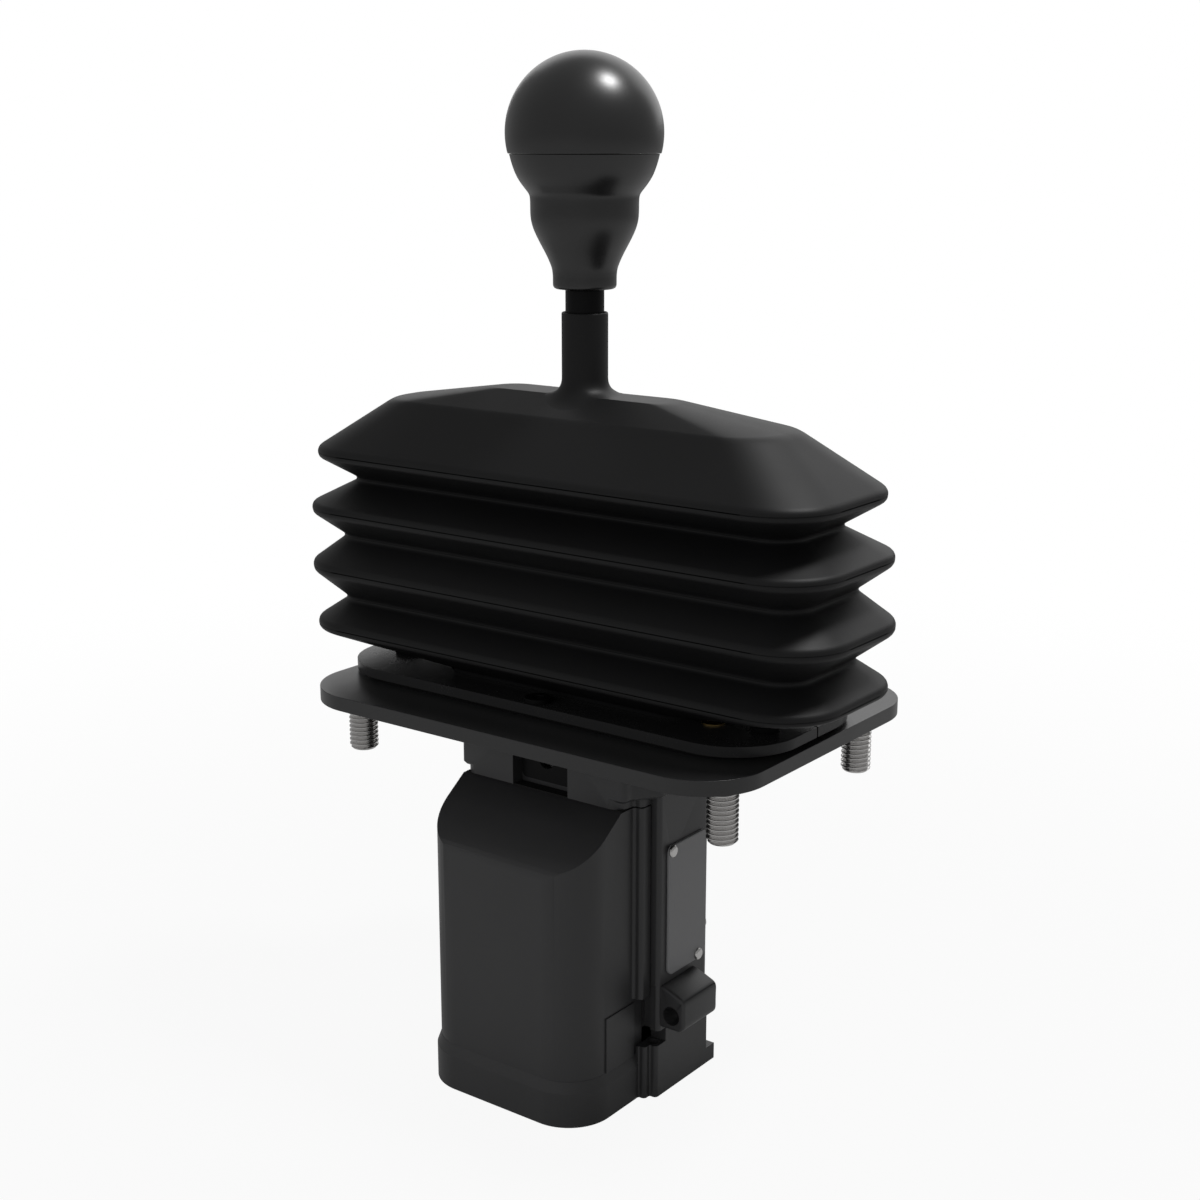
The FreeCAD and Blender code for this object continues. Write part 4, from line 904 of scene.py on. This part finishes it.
class LEVER_OT_blank_plate(bpy.types.Operator):
    """Makes the blank plate on the housing's side and its rivets"""
    bl_idname = "lever.blank_plate"
    bl_label = "Blank plate"

    def execute(self, context):
        sheet_low, sheet_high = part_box("name_plate")
        plate = piece("side_plate", [(blank_plate_rings(sheet_low, sheet_high), False)],
                      blank_plate(), sharp=50.0)
        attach(plate, "base")
        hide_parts("name_plate")
        low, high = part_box("plate_rivets")
        places = ((low.y + 0.4 * mm, high.z + 0.2 * mm), (high.y - 3.2 * mm, low.z - 0.6 * mm))
        heads = piece("rivets", [(rivet_rings(sheet_high.x, y, z), False) for y, z in places],
                      bright_steel(), sharp=45.0)
        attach(heads, "base")
        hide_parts("plate_rivets")
        return {"FINISHED"}


class LEVER_OT_mechanism(bpy.types.Operator):
    """Paints the bearings, gears, spring, sensor and wiring pieces inside"""
    bl_idname = "lever.mechanism"
    bl_label = "Mechanism"

    def execute(self, context):
        repaint(turned_brass(), "knob_insert")
        repaint(cast_alloy(), "pivot_hub")
        repaint(ground_steel(), "pivot_shaft", "hub_pin", "pinion_gear")
        repaint(black_oxide(), "rod_set_screw")
        repaint(gear_plastic(), "sector_gear")
        repaint(black_moulding(), "magnet_holder", "hall_sensor")
        repaint(nickel(), "sensor_magnet")
        repaint(bearing_bronze(), "spindle_bush", "front_bush", "rear_bush")
        repaint(bright_steel(), "sector_screws", "gear_bracket", "bracket_screws", "board_screws",
                "cover_screws", "base_screws", "terminal_carrier", "carrier_screws",
                "terminal_screws")
        repaint(board_laminate(), "sensor_board")
        repaint(spring_wire(), "return_spring")
        repaint(terminal_plastic(), "terminal_block")
        return {"FINISHED"}


def softbox(name, place, aim, width, height, level):
    """A rectangular lamp whose face is as bright as level times a white backdrop."""
    data = bpy.data.lights.new(name, "AREA")
    data.shape = "RECTANGLE"
    data.size = width
    data.size_y = height
    data.energy = level * math.pi * width * height
    made = bpy.data.objects.new(name, data)
    made.location = place
    made.visible_camera = False
    towards = Vector(aim) - Vector(place)
    made.rotation_euler = towards.to_track_quat("-Z", "Y").to_euler()
    bpy.context.scene.collection.objects.link(made)
    return made


def studio_world():
    """White where the camera looks, partly white in gloss, and grey for the light it gives."""
    world = bpy.data.worlds.new("studio")
    bpy.context.scene.world = world
    world.use_nodes = True
    world.node_tree.nodes.clear()
    sky = Nodes(world.node_tree)
    given = sky.node("ShaderNodeBackground", None, {"Color": white, "Strength": world_light})
    seen = sky.node("ShaderNodeBackground", None, {"Color": white, "Strength": white_light})
    mixed = sky.node("ShaderNodeMixShader", None, {0: sky.background_seen(), 1: given, 2: seen})
    sky.added("ShaderNodeOutputWorld", None, {"Surface": mixed})


# The view: distance, angles and lens worked out from the studs and the ball
camera_distance, camera_height = 0.477, 151.5 * mm
camera_azimuth, camera_pitch = math.radians(37.3), math.radians(14.2)
camera_turn = math.atan(0.00814)
focal_pixels, frame_pixels = 1846.0, 1200.0
sensor = 36.0
floor_half = 4.0


class LEVER_OT_stage(bpy.types.Operator):
    """Makes the floor, the studio light and the camera"""
    bl_idname = "lever.stage"
    bl_label = "Stage"

    def execute(self, context):
        ground = bpy.data.meshes.new("floor")
        corners = [(x * floor_half, y * floor_half, base_low.z)
                   for x, y in ((-1, -1), (1, -1), (1, 1), (-1, 1))]
        ground.from_pydata(corners, [], [(0, 1, 2, 3)])
        ground.materials.append(floor_paint())
        floor = bpy.data.objects.new("floor", ground)
        context.scene.collection.objects.link(floor)
        middle = (0, lever_y, 40 * mm)
        softbox("key_softbox", (0.415, 0.236, 1.14), middle, width=0.24, height=0.24, level=50.0)
        softbox("back_softbox", (-0.35, 0.85, 0.60), middle, width=1.5, height=0.85, level=1.0)
        fill = softbox("front_softbox", (-0.20, -1.60, 0.10), middle, width=2.6, height=1.6,
                       level=1.3)
        fill.visible_glossy = False
        studio_world()
        lens = bpy.data.cameras.new("camera")
        lens.sensor_width = sensor
        lens.lens = sensor * focal_pixels / frame_pixels
        lens.clip_start = 0.01
        eye = bpy.data.objects.new("camera", lens)
        eye.location = (camera_distance * math.sin(camera_azimuth),
                        lever_y - camera_distance * math.cos(camera_azimuth), camera_height)
        eye.rotation_euler = Euler((quarter_turn - camera_pitch, 0, camera_azimuth - camera_turn))
        context.scene.collection.objects.link(eye)
        context.scene.camera = eye
        context.scene.view_settings.view_transform = "Standard"
        return {"FINISHED"}


class LEVER_PT_panel(bpy.types.Panel):
    """Lists the pieces of the panel lever"""
    bl_label = "Panel Lever"
    bl_idname = "LEVER_PT_panel"
    bl_space_type = "VIEW_3D"
    bl_region_type = "UI"
    bl_category = "Panel Lever"

    def draw(self, context):
        for group in (context.scene.lever_sizes, context.scene.lever_colours):
            for key in group.__annotations__:
                self.layout.prop(group, key)
        for operator in piece_operators:
            self.layout.operator(operator.bl_idname)


piece_operators = (LEVER_OT_stage, LEVER_OT_gaiter, LEVER_OT_knob, LEVER_OT_rod, LEVER_OT_studs,
                   LEVER_OT_flange, LEVER_OT_housing, LEVER_OT_blank_plate, LEVER_OT_mechanism)
classes = (LeverSizes, LeverColours) + piece_operators + (LEVER_PT_panel,)


def register():
    for item in classes:
        bpy.utils.register_class(item)
    bpy.types.Scene.lever_sizes = PointerProperty(type=LeverSizes)
    bpy.types.Scene.lever_colours = PointerProperty(type=LeverColours)


def unregister():
    del bpy.types.Scene.lever_colours
    del bpy.types.Scene.lever_sizes
    for item in reversed(classes):
        bpy.utils.unregister_class(item)


def main():
    register()
    bpy.ops.lever.stage()
    bpy.ops.lever.gaiter()
    bpy.ops.lever.knob()
    bpy.ops.lever.rod()
    bpy.ops.lever.studs()
    bpy.ops.lever.flange()
    bpy.ops.lever.housing()
    bpy.ops.lever.blank_plate()
    bpy.ops.lever.mechanism()


if __name__ == "__main__":
    main()
